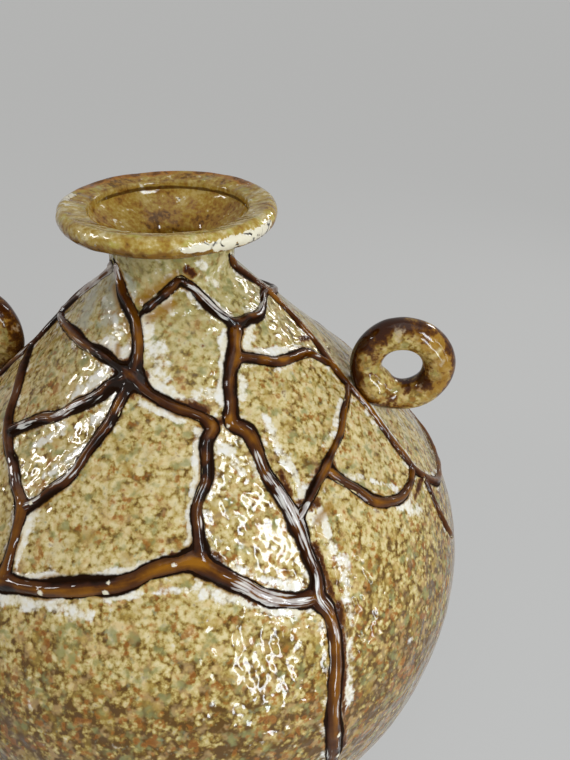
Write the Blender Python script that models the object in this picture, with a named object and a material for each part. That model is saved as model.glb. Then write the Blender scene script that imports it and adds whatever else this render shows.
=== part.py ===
"""A wide stoneware flower vase: thrown body, neck collar with a rolled lip, foot ring,
two ring lugs on the shoulder and a net of clay strips laid over the whole outside.

Metres, +Z up. The origin is the middle of the foot's resting face. The ring lugs lie on
-X and +X, and both stand in the XZ plane."""

import math

import bmesh
import bpy
import numpy as np

# Driving sizes of the whole vase
vase_height = 0.270
belly_radius = 0.1295
belly_drop = 0.1646
wall_thickness = 0.0055
floor_thickness = 0.009
seat_gap = 0.0003

# Foot ring
foot_radius = 0.062
foot_width = 0.010
foot_height = 0.008
foot_bevel = 0.0012
foot_taper = 0.0015

# Body outline: the base under the belly and the slope of the shoulder
base_radius = 0.0660
belly_hold_share = 0.19
base_turn_share = 0.24
shoulder_radius = 0.0249
shoulder_drop = 0.0264
shoulder_slope = math.radians(46.7)
shoulder_run = 0.0683
belly_hold = 0.0551
seam_drop = 0.0312

# Neck and lip
neck_radius = 0.0233
neck_waist_drop = 0.0150
neck_hold = 0.0062
flare_hold = 0.0045
lip_radius = 0.0390
lip_thickness = 0.0076
lip_edge = 0.0034
mouth_radius = 0.0284
mouth_drop = 0.0029
mouth_step = 0.0014
throat_radius = 0.0168
throat_drop = 0.0185
throat_hold = 0.0062

# Ring lugs
lug_radius = 0.0144
lug_tube_radius = 0.0064
lug_stand_off = 0.0205
lug_foot_swell = 0.0016
lug_foot_share = 0.4613

# Clay strips
strip_width = 0.0050
strip_height = 0.0023
station_spacing = 0.0075
cut_margin = 0.0010

# Facets round the turned pieces, round the lugs and along the outlines
body_segments = 48
collar_segments = 40
foot_segments = 48
lug_segments = 26
tube_segments = 12
shoulder_steps = 12
belly_steps = 8
flare_steps = 5
neck_steps = 5
lip_steps = 7
outline_samples = 160

# Section of a strip, from one foot over the crown to the other: shares of its half
# width and of its height. The last point is the middle of the foot.
section_shares = [(-1.0, 0.0), (-0.78, 0.80), (0.0, 1.0), (0.78, 0.80), (1.0, 0.0),
                  (0.0, 0.0)]
end_share = 0.80

# Net of strips. Each has a share of strip_width and its places on the vase: the angle
# in degrees from +X, and the depth under the lip as a share of belly_drop. A strip is
# cut short by the ones above it in the list that it meets.
strip_shares = {
    "strip_left_shoulder": (0.88, [
        (-140, 0.120), (-152, 0.150), (-163, 0.190), (-171, 0.230), (-173, 0.265),
        (-171, 0.300), (-169, 0.330), (-168, 0.362), (-169, 0.413), (-169, 0.455),
        (-169, 0.510), (-170, 0.570), (-178, 0.630), (173, 0.690), (167, 0.780),
        (160, 0.920), (157, 1.060)]),
    "strip_back_right_long": (0.90, [
        (78, 0.108), (75, 0.160), (69, 0.225), (62, 0.300), (58, 0.380), (55, 0.470),
        (49, 0.570), (39, 0.680), (27, 0.765), (22, 0.860), (23, 0.980), (25, 1.120)]),
    "strip_right_long": (0.78, [
        (-14, 0.105), (0, 0.150), (8, 0.185), (12, 0.225), (11, 0.255), (6, 0.300),
        (2, 0.346), (-2, 0.380), (-4.5, 0.420), (-5.5, 0.450), (-6, 0.475),
        (-7.5, 0.506), (-8.5, 0.537), (-9, 0.573), (-9.5, 0.610), (-7, 0.660),
        (-4, 0.700), (6, 0.745), (27, 0.765)]),
    "strip_neck_arch": (0.80, [
        (-96.5, 0.186), (-88, 0.167), (-77, 0.145), (-68, 0.126), (-62, 0.139),
        (-53, 0.170), (-46, 0.196), (-37, 0.222), (-27, 0.224), (-18, 0.228),
        (-8, 0.222), (2, 0.217), (12, 0.222)]),
    "strip_front_main": (1.10, [
        (-38, 0.224), (-44, 0.248), (-47.5, 0.268), (-52, 0.287), (-54.5, 0.305),
        (-56, 0.330), (-58, 0.358), (-54, 0.377), (-53, 0.403), (-53, 0.434),
        (-51, 0.475), (-50, 0.517), (-50, 0.560), (-50, 0.605), (-51, 0.632),
        (-50, 0.660), (-50, 0.690), (-51, 0.740), (-53, 0.816), (-54, 0.980),
        (-55, 1.150), (-56, 1.300)]),
    "strip_lower_cross": (1.16, [
        (-169, 0.565), (-152, 0.585), (-138, 0.610), (-124, 0.622), (-112, 0.604),
        (-105, 0.594), (-98, 0.579), (-93, 0.568), (-89, 0.562), (-85, 0.553),
        (-82, 0.542), (-77, 0.533), (-73, 0.532), (-70.5, 0.545), (-67, 0.563),
        (-64, 0.579), (-62, 0.594), (-59, 0.610), (-55, 0.624), (-51, 0.632)]),
    "strip_left_top": (0.84, [
        (-171, 0.288), (-152, 0.268), (-139, 0.262), (-126, 0.262), (-118, 0.262),
        (-111, 0.264), (-105, 0.270), (-94, 0.284), (-88, 0.300), (-81, 0.315),
        (-76, 0.325), (-71, 0.333), (-67, 0.343), (-64.5, 0.358), (-67, 0.377),
        (-68, 0.403), (-69, 0.429), (-71, 0.449), (-72, 0.465), (-72, 0.490),
        (-72, 0.532)]),
    "strip_left_side": (0.94, [
        (-168, 0.360), (-158, 0.367), (-150, 0.377), (-144, 0.393), (-139, 0.418),
        (-134, 0.434), (-129, 0.449), (-125, 0.460), (-120, 0.480), (-115, 0.502),
        (-113.5, 0.530), (-112.5, 0.560), (-112, 0.604)]),
    "strip_neck_left": (0.86, [
        (-131, 0.110), (-127, 0.145), (-119, 0.165), (-108, 0.183), (-101, 0.198),
        (-96, 0.227), (-94, 0.258), (-94, 0.284)]),
    "strip_left_diagonal": (0.84, [
        (-94, 0.284), (-97, 0.320), (-98.5, 0.350), (-101.5, 0.382), (-103.5, 0.410),
        (-106, 0.440), (-109, 0.461), (-112, 0.486), (-115, 0.502)]),
    "strip_left_fall": (1.00, [
        (-94, 0.284), (-102, 0.300), (-108, 0.325), (-114, 0.346), (-118, 0.367),
        (-124, 0.384), (-129, 0.405), (-134, 0.434)]),
    "strip_right_cross": (0.88, [
        (-48, 0.268), (-43, 0.274), (-35, 0.289), (-27, 0.305), (-19, 0.315),
        (-9, 0.330), (-2, 0.378)]),
    "strip_right_fall": (0.72, [
        (-4.5, 0.420), (-10, 0.428), (-17, 0.434), (-24, 0.449), (-31, 0.462),
        (-36, 0.475), (-41, 0.486), (-45, 0.501), (-50, 0.519)]),
    "strip_right_hook": (0.92, [
        (-36, 0.475), (-34, 0.500), (-31, 0.532), (-29, 0.563), (-26, 0.584),
        (-22, 0.603), (-17, 0.614), (-9.5, 0.610)]),
    "strip_right_tail": (0.60, [
        (-8, 0.645), (-10, 0.690), (-11, 0.730), (-10.5, 0.790), (-8, 0.840)]),
    "strip_back_left_long": (0.90, [
        (137, 0.108), (132, 0.160), (128, 0.220), (126, 0.300), (132, 0.380),
        (137, 0.460), (143, 0.530), (154, 0.585), (165, 0.640), (173, 0.690)]),
    "strip_back_right_top": (0.84, [
        (12, 0.225), (25, 0.250), (43, 0.285), (62, 0.300)]),
    "strip_back_upper": (0.90, [
        (62, 0.300), (71, 0.345), (82, 0.380), (98, 0.365), (112, 0.335),
        (126, 0.300)]),
    "strip_back_lower": (1.00, [
        (49, 0.570), (57, 0.605), (65, 0.620), (74, 0.630), (86, 0.680), (98, 0.730),
        (113, 0.725)]),
    "strip_back_centre": (0.86, [
        (82, 0.380), (77, 0.480), (74, 0.630)]),
    "strip_back_left_top": (0.82, [
        (-171, 0.288), (176, 0.255), (160, 0.250), (144, 0.270), (126, 0.300)]),
    "strip_back_left_hook": (0.94, [
        (143, 0.530), (130, 0.620), (117, 0.700), (111, 0.800), (108, 0.960),
        (106, 1.120)]),
}

# Colours, roughness
khaki_glaze = ((0.45, 0.37, 0.20, 1.0), 0.16)
olive_glaze = ((0.36, 0.33, 0.18, 1.0), 0.16)
amber_glaze = ((0.20, 0.085, 0.025, 1.0), 0.12)
bare_clay = ((0.42, 0.30, 0.20, 1.0), 0.80)
lug_glaze = ((0.38, 0.27, 0.12, 1.0), 0.15)


def clear_scene():
    for thing in list(bpy.data.objects):
        bpy.data.objects.remove(thing, do_unlink=True)


def paint(thing, glaze):
    """Gives the piece its own material."""
    colour, roughness = glaze
    material = bpy.data.materials.new(thing.name)
    material.use_nodes = True
    surface = material.node_tree.nodes["Principled BSDF"]
    surface.inputs["Base Color"].default_value = colour
    surface.inputs["Roughness"].default_value = roughness
    surface.inputs["Metallic"].default_value = 0.0
    thing.data.materials.append(material)


def make_object(name, points, faces):
    """A mesh object from points and faces, its faces turned outwards."""
    mesh = bpy.data.meshes.new(name)
    mesh.from_pydata([tuple(point) for point in points], [], faces)
    shape = bmesh.new()
    shape.from_mesh(mesh)
    bmesh.ops.recalc_face_normals(shape, faces=shape.faces)
    bmesh.ops.triangulate(shape, faces=shape.faces)
    shape.to_mesh(mesh)
    shape.free()
    mesh.shade_smooth()
    mesh.set_sharp_from_angle(angle=math.radians(40))
    thing = bpy.data.objects.new(name, mesh)
    bpy.context.scene.collection.objects.link(thing)
    return thing


def hide(cutter):
    cutter.hide_render = True
    cutter.display_type = "WIRE"


def cut(thing, cutter):
    modifier = thing.modifiers.new("cut by " + cutter.name, "BOOLEAN")
    modifier.operation = "DIFFERENCE"
    modifier.solver = "EXACT"
    modifier.object = cutter


def turned(name, outline, segments, closed):
    """Turns an outline of (radius, height) about Z. A closed outline makes a ring, an
    open one starts and ends on the axis."""
    angles = np.linspace(0, math.tau, segments, endpoint=False)
    points = []
    rings = []
    for radius, height in outline:
        if radius == 0:
            rings.append([len(points)])
            points.append((0, 0, height))
            continue
        rings.append([len(points) + k for k in range(segments)])
        points += [(radius * math.cos(a), radius * math.sin(a), height) for a in angles]
    pairs = list(zip(rings, rings[1:]))
    if closed:
        pairs.append((rings[-1], rings[0]))
    faces = []
    for lower, upper in pairs:
        for k in range(segments):
            corners = [lower[k % len(lower)], lower[(k + 1) % len(lower)],
                       upper[(k + 1) % len(upper)], upper[k % len(upper)]]
            faces.append(list(dict.fromkeys(corners)))
    return make_object(name, points, faces)


def bezier(start, first, second, end, steps):
    t = np.linspace(0, 1, steps + 1)[:, None]
    start, first, second, end = map(np.array, (start, first, second, end))
    return ((1 - t) ** 3 * start + 3 * (1 - t) ** 2 * t * first
            + 3 * (1 - t) * t ** 2 * second + t ** 3 * end)


def outer_outline(flare_count, shoulder_count, belly_count):
    """Outside of the vase from the neck's waist down to the edge of the base."""
    down = np.array([math.cos(shoulder_slope), -math.sin(shoulder_slope)])
    waist = np.array([neck_radius, vase_height - neck_waist_drop])
    shoulder = np.array([shoulder_radius, vase_height - shoulder_drop])
    belly = np.array([belly_radius, vase_height - belly_drop])
    base = np.array([base_radius, foot_height + seat_gap])
    depth = belly[1] - base[1]
    flare = bezier(waist, waist - [0, neck_hold], shoulder - flare_hold * down,
                   shoulder, flare_count)
    slope = bezier(shoulder, shoulder + shoulder_run * down, belly + [0, belly_hold],
                   belly, shoulder_count)
    under = bezier(belly, belly - [0, belly_hold_share * depth],
                   [belly_radius, base[1] + base_turn_share * depth], base, belly_count)
    return np.vstack([flare, slope[1:], under[1:]])


def shifted(outline, distance):
    """The outline moved sideways, to the outside of the vase where distance is
    positive."""
    along = np.gradient(outline, axis=0)
    along /= np.linalg.norm(along, axis=1)[:, None]
    return outline + distance * np.stack([-along[:, 1], along[:, 0]], axis=1)


def radius_at(outline, height):
    """Radius of an outline that runs downwards, at one or more heights."""
    return np.interp(-np.asarray(height), -outline[:, 1], outline[:, 0])


def below(outline, height):
    """The stretch of an outline below a height, starting exactly on it."""
    first = [radius_at(outline, height), height]
    return np.vstack([[first], outline[outline[:, 1] < height]])


def above(outline, height):
    """The stretch of an outline above a height, ending exactly on it."""
    last = [radius_at(outline, height), height]
    return np.vstack([outline[outline[:, 1] > height], [last]])


fine_outline = outer_outline(outline_samples, outline_samples, outline_samples)
fine_normals = shifted(fine_outline, 1) - fine_outline


def on_vase(angle, height, lift):
    """Points on the outside of the vase, lifted off it along its normal."""
    radius = radius_at(fine_outline, height)
    out = np.interp(-height, -fine_outline[:, 1], fine_normals[:, 0])
    rise = np.interp(-height, -fine_outline[:, 1], fine_normals[:, 1])
    radius = radius + lift * out
    return np.stack([radius * np.cos(angle), radius * np.sin(angle),
                     height + lift * rise], axis=-1)


def smooth_route(places):
    """Points every station_spacing along a smooth line through the places, as angles
    and heights."""
    angles, drops = np.array(places).T
    angles = np.unwrap(np.radians(angles))
    heights = vase_height - drops * belly_drop
    corners = on_vase(angles, heights, 0)
    steps = np.linalg.norm(np.diff(corners, axis=0), axis=1)
    at = np.concatenate([[0], np.cumsum(steps)])
    count = max(2, round(at[-1] / station_spacing))
    wanted = np.linspace(0, at[-1], count + 1)
    route = []
    for values in (angles, heights):
        slopes = np.gradient(values, at)
        k = np.clip(np.searchsorted(at, wanted, side="right") - 1, 0, len(at) - 2)
        span = at[k + 1] - at[k]
        t = (wanted - at[k]) / span
        route.append((2 * t ** 3 - 3 * t ** 2 + 1) * values[k]
                     + (t ** 3 - 2 * t ** 2 + t) * span * slopes[k]
                     + (3 * t ** 2 - 2 * t ** 3) * values[k + 1]
                     + (t ** 3 - t ** 2) * span * slopes[k + 1])
    return np.stack(route, axis=1)


def strip_points(route, half_width, foot, crown):
    """Sections of a strip laid along the route: each point lies on the vase, lifted by
    the foot's or the crown's height."""
    centres = on_vase(route[:, 0], route[:, 1], 0)
    along = np.gradient(centres, axis=0)
    normals = on_vase(route[:, 0], route[:, 1], 1) - centres
    sideways = np.cross(along, normals)
    sideways /= np.linalg.norm(sideways, axis=1)[:, None]
    sections = []
    for k, centre in enumerate(centres):
        ends = end_share if k in (0, len(centres) - 1) else 1
        for across_share, up_share in section_shares:
            spot = centre + sideways[k] * across_share * half_width * ends
            angle = math.atan2(spot[1], spot[0])
            lift = foot + (crown - foot) * up_share * ends
            sections.append(on_vase(angle, spot[2], lift))
    return sections


def strip_mesh(name, route, half_width, foot, crown):
    points = strip_points(route, half_width, foot, crown)
    ring = len(section_shares)
    count = len(points) // ring
    faces = [list(range(ring)), list(range((count - 1) * ring, count * ring))]
    for k in range(count - 1):
        for j in range(ring):
            after = (j + 1) % ring
            faces.append([k * ring + j, k * ring + after,
                          (k + 1) * ring + after, (k + 1) * ring + j])
    return make_object(name, points, faces)


def make_strips(lug_cutters):
    """Lays the strips in the order of the list. Each is cut back from the earlier ones
    that it meets, and from a lug's foot that it passes."""
    laid = []
    for name, (width_share, places) in strip_shares.items():
        half_width = width_share * strip_width / 2
        route = smooth_route(places)
        line = on_vase(route[:, 0], route[:, 1], 0)
        strip = strip_mesh(name, route, half_width, seat_gap, seat_gap + strip_height)
        paint(strip, amber_glaze)
        for other_line, other_half_width, cutter in laid:
            apart = np.linalg.norm(line[:, None] - other_line[None], axis=2).min()
            if apart < half_width + other_half_width + seat_gap + station_spacing:
                cut(strip, cutter)
        for lug_cutter in lug_cutters:
            centre = np.array(lug_cutter.location)
            apart = np.linalg.norm(line - centre, axis=1).min()
            if apart < lug_radius + lug_tube_radius + lug_foot_swell + half_width:
                cut(strip, lug_cutter)
        cutter = strip_mesh("cutter_" + name, route, half_width + seat_gap,
                            seat_gap - cut_margin, 2 * strip_height)
        hide(cutter)
        laid.append((line, half_width, cutter))


def make_body():
    """Thrown body: base, belly and shoulder up to the neck's seam, open at the top."""
    seam = vase_height - seam_drop - seat_gap
    floor = foot_height + seat_gap + floor_thickness
    outline = outer_outline(flare_steps, shoulder_steps, belly_steps)
    outside = below(outline, seam)
    inside = above(below(shifted(outline, -wall_thickness), seam), floor)
    loop = np.vstack([[[0, floor]], inside[::-1], outside, [[0, outside[-1, 1]]]])
    body = turned("vessel_body", loop, body_segments, closed=False)
    paint(body, khaki_glaze)


def make_collar():
    """Neck collar: the flare off the shoulder, the neck, the rolled lip and the throat."""
    seam = vase_height - seam_drop
    outline = outer_outline(flare_steps, shoulder_steps, belly_steps)
    outside = above(outline, seam)[::-1]
    top = vase_height
    under_lip = top - lip_thickness
    waist = top - neck_waist_drop
    roll = [(lip_radius - lip_edge + lip_edge * math.sin(a),
             top - lip_thickness / 2 - lip_thickness / 2 * math.cos(a))
            for a in np.linspace(math.radians(15), math.pi, lip_steps + 1)]
    neck = bezier([neck_radius, waist], [neck_radius, waist + neck_hold],
                  [lip_radius - 2 * lip_edge, under_lip], roll[0], neck_steps)
    mouth = [(mouth_radius + mouth_step, top - mouth_drop + mouth_step),
             (mouth_radius, top - mouth_drop), (mouth_radius, top - mouth_drop - mouth_step)]
    throat = bezier(mouth[-1], [mouth_radius, top - throat_drop / 2],
                    [throat_radius, top - throat_drop + throat_hold],
                    [throat_radius, top - throat_drop], neck_steps)
    inside = above(below(shifted(outline, -wall_thickness),
                         top - throat_drop - throat_hold), seam)
    loop = np.vstack([outside, neck[1:-1], roll, mouth, throat[1:], inside])
    collar = turned("neck_collar", loop, collar_segments, closed=True)
    paint(collar, olive_glaze)


def make_foot():
    """Foot ring: its flat lower face is what the vase rests on."""
    inner = foot_radius - foot_width
    loop = [(inner + foot_bevel, 0), (foot_radius - foot_bevel, 0),
            (foot_radius, foot_bevel), (foot_radius - foot_taper, foot_height),
            (inner + foot_taper, foot_height), (inner, foot_bevel)]
    foot = turned("foot_ring", loop, foot_segments, closed=True)
    paint(foot, bare_clay)


def lug_mesh(name, side, extra):
    """A ring of clay in the XZ plane, a little thicker where it stands on the shoulder.
    Its origin is the middle of its hole."""
    height = vase_height - lug_foot_share * belly_drop
    foot = on_vase(0.0, height, 0)
    normal = on_vase(0.0, height, 1) - foot
    centre = foot + lug_stand_off * normal
    to_foot = math.atan2(-normal[2], -normal[0])
    points = []
    for a in np.linspace(0, math.tau, lug_segments, endpoint=False):
        swell = max(0, math.cos(a - to_foot)) ** 8
        tube = lug_tube_radius + lug_foot_swell * swell + extra
        for b in np.linspace(0, math.tau, tube_segments, endpoint=False):
            reach = lug_radius + tube * math.cos(b)
            points.append((side * reach * math.cos(a), tube * math.sin(b),
                           reach * math.sin(a)))
    faces = []
    for k in range(lug_segments):
        for j in range(tube_segments):
            ahead = (k + 1) % lug_segments * tube_segments
            after = (j + 1) % tube_segments
            faces.append([k * tube_segments + j, k * tube_segments + after,
                          ahead + after, ahead + j])
    lug = make_object(name, points, faces)
    lug.location = (side * centre[0], 0, centre[2])
    return lug


def make_lugs():
    """Two ring lugs, cut to the shoulder that they stand on. Returns their cutters."""
    outline = shifted(outer_outline(flare_steps, shoulder_steps, belly_steps), seat_gap)
    loop = np.vstack([[[0, outline[0, 1]]], outline, [[0, outline[-1, 1]]]])
    body_cutter = turned("cutter_body", loop, body_segments, closed=False)
    hide(body_cutter)
    cutters = []
    for name, side in (("ring_lug_right", 1), ("ring_lug_left", -1)):
        lug = lug_mesh(name, side, 0)
        paint(lug, lug_glaze)
        cut(lug, body_cutter)
        cutter = lug_mesh("cutter_" + name, side, seat_gap)
        hide(cutter)
        cutters.append(cutter)
    return cutters


clear_scene()
make_body()
make_collar()
make_foot()
make_strips(make_lugs())
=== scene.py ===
import math

import bpy
import numpy as np
from mathutils import Matrix


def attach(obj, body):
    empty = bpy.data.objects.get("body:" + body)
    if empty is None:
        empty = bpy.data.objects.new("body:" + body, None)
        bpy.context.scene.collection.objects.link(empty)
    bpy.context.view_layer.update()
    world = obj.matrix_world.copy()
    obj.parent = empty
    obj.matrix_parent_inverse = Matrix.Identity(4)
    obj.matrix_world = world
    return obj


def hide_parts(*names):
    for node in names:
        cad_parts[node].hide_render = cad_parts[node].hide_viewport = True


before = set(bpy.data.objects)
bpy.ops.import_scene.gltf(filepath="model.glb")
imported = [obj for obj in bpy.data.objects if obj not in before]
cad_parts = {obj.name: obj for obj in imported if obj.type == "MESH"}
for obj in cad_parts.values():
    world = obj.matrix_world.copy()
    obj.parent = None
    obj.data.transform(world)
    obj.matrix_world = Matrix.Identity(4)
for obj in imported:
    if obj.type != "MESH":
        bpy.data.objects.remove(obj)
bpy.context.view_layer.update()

# Sizes are in metres and angles in degrees from +X. Depths under the lip are shares of
# the belly's own depth, as in the part's source. Waves, lumps, pits and wear are pairs:
# the noise's size and its height.

vase = {
    "height": 0.270, "bellyRadius": 0.1295, "bellyDrop": 0.1646, "wall": 0.0055,
    "floor": 0.009, "footHeight": 0.008, "seat": 0.0003, "baseRadius": 0.066,
    "bellyHold": 0.0551, "bellyHoldShare": 0.19, "baseTurnShare": 0.24,
    "shoulderRadius": 0.0249, "shoulderDrop": 0.0264, "shoulderSlope": 46.7,
    "shoulderRun": 0.0683, "seamDrop": 0.0312, "curveSteps": 160,
    "neckRadius": 0.0233, "waistDrop": 0.0150, "neckHold": 0.0062, "flareHold": 0.0045,
    "slowWave": (0.016, 0.00022), "smallWave": (0.0065, 0.00012),
}
# Large odd numbers that scatter the corners of a noise's lattice
lattice = {"primes": (73856093, 19349663, 83492791), "seedStep": 2654435,
           "seedShift": 7.31, "spin": 1103515245, "carry": 12345, "mask": 0x7FFFFFFF}


def bezier(start, first, second, end, count):
    # cubic curve: the four points weighted by (1-t)^3, 3(1-t)^2 t, 3(1-t) t^2 and t^3
    t = np.linspace(0, 1, count + 1)[:, None]
    start, first, second, end = map(np.array, (start, first, second, end))
    return ((1 - t) ** 3 * start + 3 * (1 - t) ** 2 * t * first
            + 3 * (1 - t) * t ** 2 * second + t ** 3 * end)


def runAlong(points):
    # the length of the line from its first point to each
    return np.concatenate([[0], np.cumsum(np.linalg.norm(np.diff(points, axis=0), axis=1))])


def unit(vectors):                            # each over its own length
    return vectors / np.linalg.norm(vectors, axis=1)[:, None]


def sideNormals(outline):
    # the outline's direction turned a quarter, so that it points out of the clay
    along = unit(np.gradient(outline, axis=0))
    return np.stack([-along[:, 1], along[:, 0]], axis=1)


def outerOutline():
    # radius and height: curves from the neck's waist to the shoulder, belly and base
    v = vase
    slope = math.radians(v["shoulderSlope"])
    down = np.array([math.cos(slope), -math.sin(slope)])
    waist = np.array([v["neckRadius"], v["height"] - v["waistDrop"]])
    shoulder = np.array([v["shoulderRadius"], v["height"] - v["shoulderDrop"]])
    belly = np.array([v["bellyRadius"], v["height"] - v["bellyDrop"]])
    base = np.array([v["baseRadius"], v["footHeight"] + v["seat"]])
    depth = belly[1] - base[1]
    flare = bezier(waist, waist - [0, v["neckHold"]],
                   shoulder - v["flareHold"] * down, shoulder, v["curveSteps"])
    over = bezier(shoulder, shoulder + v["shoulderRun"] * down,
                  belly + [0, v["bellyHold"]], belly, v["curveSteps"])
    under = bezier(belly, belly - [0, v["bellyHoldShare"] * depth],
                   [v["bellyRadius"], base[1] + v["baseTurnShare"] * depth], base,
                   v["curveSteps"])
    return np.vstack([flare, over[1:], under[1:]])


vaseOutline = outerOutline()
vaseNormals = sideNormals(vaseOutline)


def outlineAt(height, values):
    # what the outline's points hold, read between them at a height
    return np.interp(-np.asarray(height), -vaseOutline[:, 1], values)


def radiusAt(height):                         # the outline's radius at a height
    return outlineAt(height, vaseOutline[:, 0])


def around(radius, angle, height):
    # points round the axis: radius times the angle's cosine and sine, and the height
    return np.stack([radius * np.cos(angle), radius * np.sin(angle),
                     height + 0 * angle], axis=-1)


def onVase(angle, height, lift):
    # the turned outline's point at that angle and height, moved out along its normal
    return around(radiusAt(height) + lift * outlineAt(height, vaseNormals[:, 0]), angle,
                  height + lift * outlineAt(height, vaseNormals[:, 1]))


def placed(degrees, drop):
    # a point of the outside from its angle and its depth's share
    height = vase["height"] - np.asarray(drop) * vase["bellyDrop"]
    return onVase(np.radians(degrees), height, 0)


def ease(value, low, high):
    # 0 up to low, 1 from high on, and 3t^2 - 2t^3 between
    t = np.clip((value - low) / (high - low), 0, 1)
    return t * t * (3 - 2 * t)


def cloud(points, size, seed):
    # value noise from -1 to 1: random corners of a lattice of that size, eased between
    q = points / size + seed * lattice["seedShift"]
    corner = np.floor(q).astype(np.int64)
    t = q - corner
    t = t * t * (3 - 2 * t)
    total = 0
    for k in range(8):
        step = np.array([k & 1, k >> 1 & 1, k >> 2 & 1])
        c = (corner + step) * lattice["primes"]
        mixed = c[..., 0] ^ c[..., 1] ^ c[..., 2]
        mixed = (mixed ^ (seed * lattice["seedStep"])) & lattice["mask"]
        mixed = (mixed * lattice["spin"] + lattice["carry"]) & lattice["mask"]
        value = (mixed >> 8 & 0xFFFF) / 32767.5 - 1
        total = total + value * np.prod(np.where(step, t, 1 - t), axis=-1)
    return total


def wave(points, pair, seed):                 # noise of the pair's size times its height
    return pair[1] * cloud(points, pair[0], seed)


def swell(points):
    # the thrown wall's slow waves and the glaze's small ones, added up
    return wave(points, vase["slowWave"], 3) + wave(points, vase["smallWave"], 4)


def apartFrom(points, spot):                  # distance from a spot, in mm
    return np.linalg.norm(points - spot, axis=1) * 1000


def nearBand(points, degrees0, drop0, degrees1, drop1):
    # distance in mm from a short straight band between two places on the outside: the
    # foot of the perpendicular, kept between its ends
    start, end = placed(degrees0, drop0), placed(degrees1, drop1)
    run = end - start
    t = np.clip((points - start) @ run / max(run @ run, 1e-9), 0, 1)
    return apartFrom(points - start, t[:, None] * run)


def newObject(name, data):                    # an object with its data, in the scene
    made = bpy.data.objects.new(name, data)
    bpy.context.scene.collection.objects.link(made)
    return made


def addPiece(name, points, faces, attributes, nodes, material):
    # a mesh from whole arrays: points, faces by their point numbers, values at points
    mesh = bpy.data.meshes.new(name)
    mesh.vertices.add(len(points))
    mesh.vertices.foreach_set("co", points.astype(np.float32).ravel())
    corners = np.concatenate([f.ravel() for f in faces])
    counts = np.concatenate([np.full(len(f), f.shape[1]) for f in faces])
    mesh.loops.add(len(corners))
    mesh.loops.foreach_set("vertex_index", corners.astype(np.int32))
    mesh.polygons.add(len(counts))
    starts = np.concatenate([[0], np.cumsum(counts)[:-1]])
    mesh.polygons.foreach_set("loop_start", starts.astype(np.int32))
    mesh.update(calc_edges=True)
    mesh.validate()
    mesh.shade_smooth()
    for key, values in attributes.items():
        layer = mesh.attributes.new(key, "FLOAT", "POINT")
        layer.data.foreach_set("value", values.astype(np.float32))
    mesh.materials.append(material)
    piece = newObject(name, mesh)
    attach(piece, "root")
    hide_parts(*nodes)


def gridFaces(rows, columns, closedRows=False):
    # quads between neighbouring rows; columns always close round
    r = np.arange(rows if closedRows else rows - 1)[:, None]
    c = np.arange(columns)[None]
    after, ahead = (r + 1) % rows, (c + 1) % columns
    quads = np.stack([r * columns + c, r * columns + ahead,
                      after * columns + ahead, after * columns + c], axis=-1)
    return quads.reshape(-1, 4)


def capFaces(rows, columns):
    # triangles from a grid's first and last row to the two poles that follow the grid
    total, c = rows * columns, np.arange(columns)
    ahead, last = (c + 1) % columns, total - columns
    return np.vstack([np.stack([c, ahead, c * 0 + total], axis=1),
                      np.stack([c * 0 + total + 1, last + ahead, last + c], axis=1)])


def padded(values, shape, part, fill):
    # values of one part of a grid; the rest of it and its two poles get the fill
    grid = np.full(shape, fill, float)
    grid[part] = values.reshape(grid[part].shape)
    return np.concatenate([grid.ravel(), [fill, fill]])


# The net of clay strips, and how far and how finely it is read
net = {
    "width": 0.0051, "height": 0.0019, "sink": 0.0009, "station": 0.0007, "across": 23,
    "reach": 1.14, "bunching": 0.94, "endTaper": 0.0050, "butTaper": 0.0022,
    "joinReach": 0.004, "edgeWander": 0.22, "edgeWave": 0.008, "smallWave": 0.0032,
    "crownWander": 0.16, "crownWave": 0.007, "creaseMean": 0.85, "creaseSwing": 1.4,
    "creaseWave": 0.011, "creaseLeast": 0.2, "creaseMost": 1.5,
    "lump": (0.0045, 0.00012), "pit": (0.0021, 0.00004), "ripple": (1.0, 0.00013),
    "rippleLength": 0.0085, "rippleWidth": 0.0015, "tuck": 0.00035, "tuckRise": 0.0005,
    "beadLift": 0.0006, "beadFrom": 0.0006, "thin": 0.0004, "edgeLap": 0.0007,
    "readSpacing": 0.0010, "halfSpacing": 0.0006, "readReach": 0.028, "farAway": 0.03,
    "farGap": 20.0, "batch": 6000,
}
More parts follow.
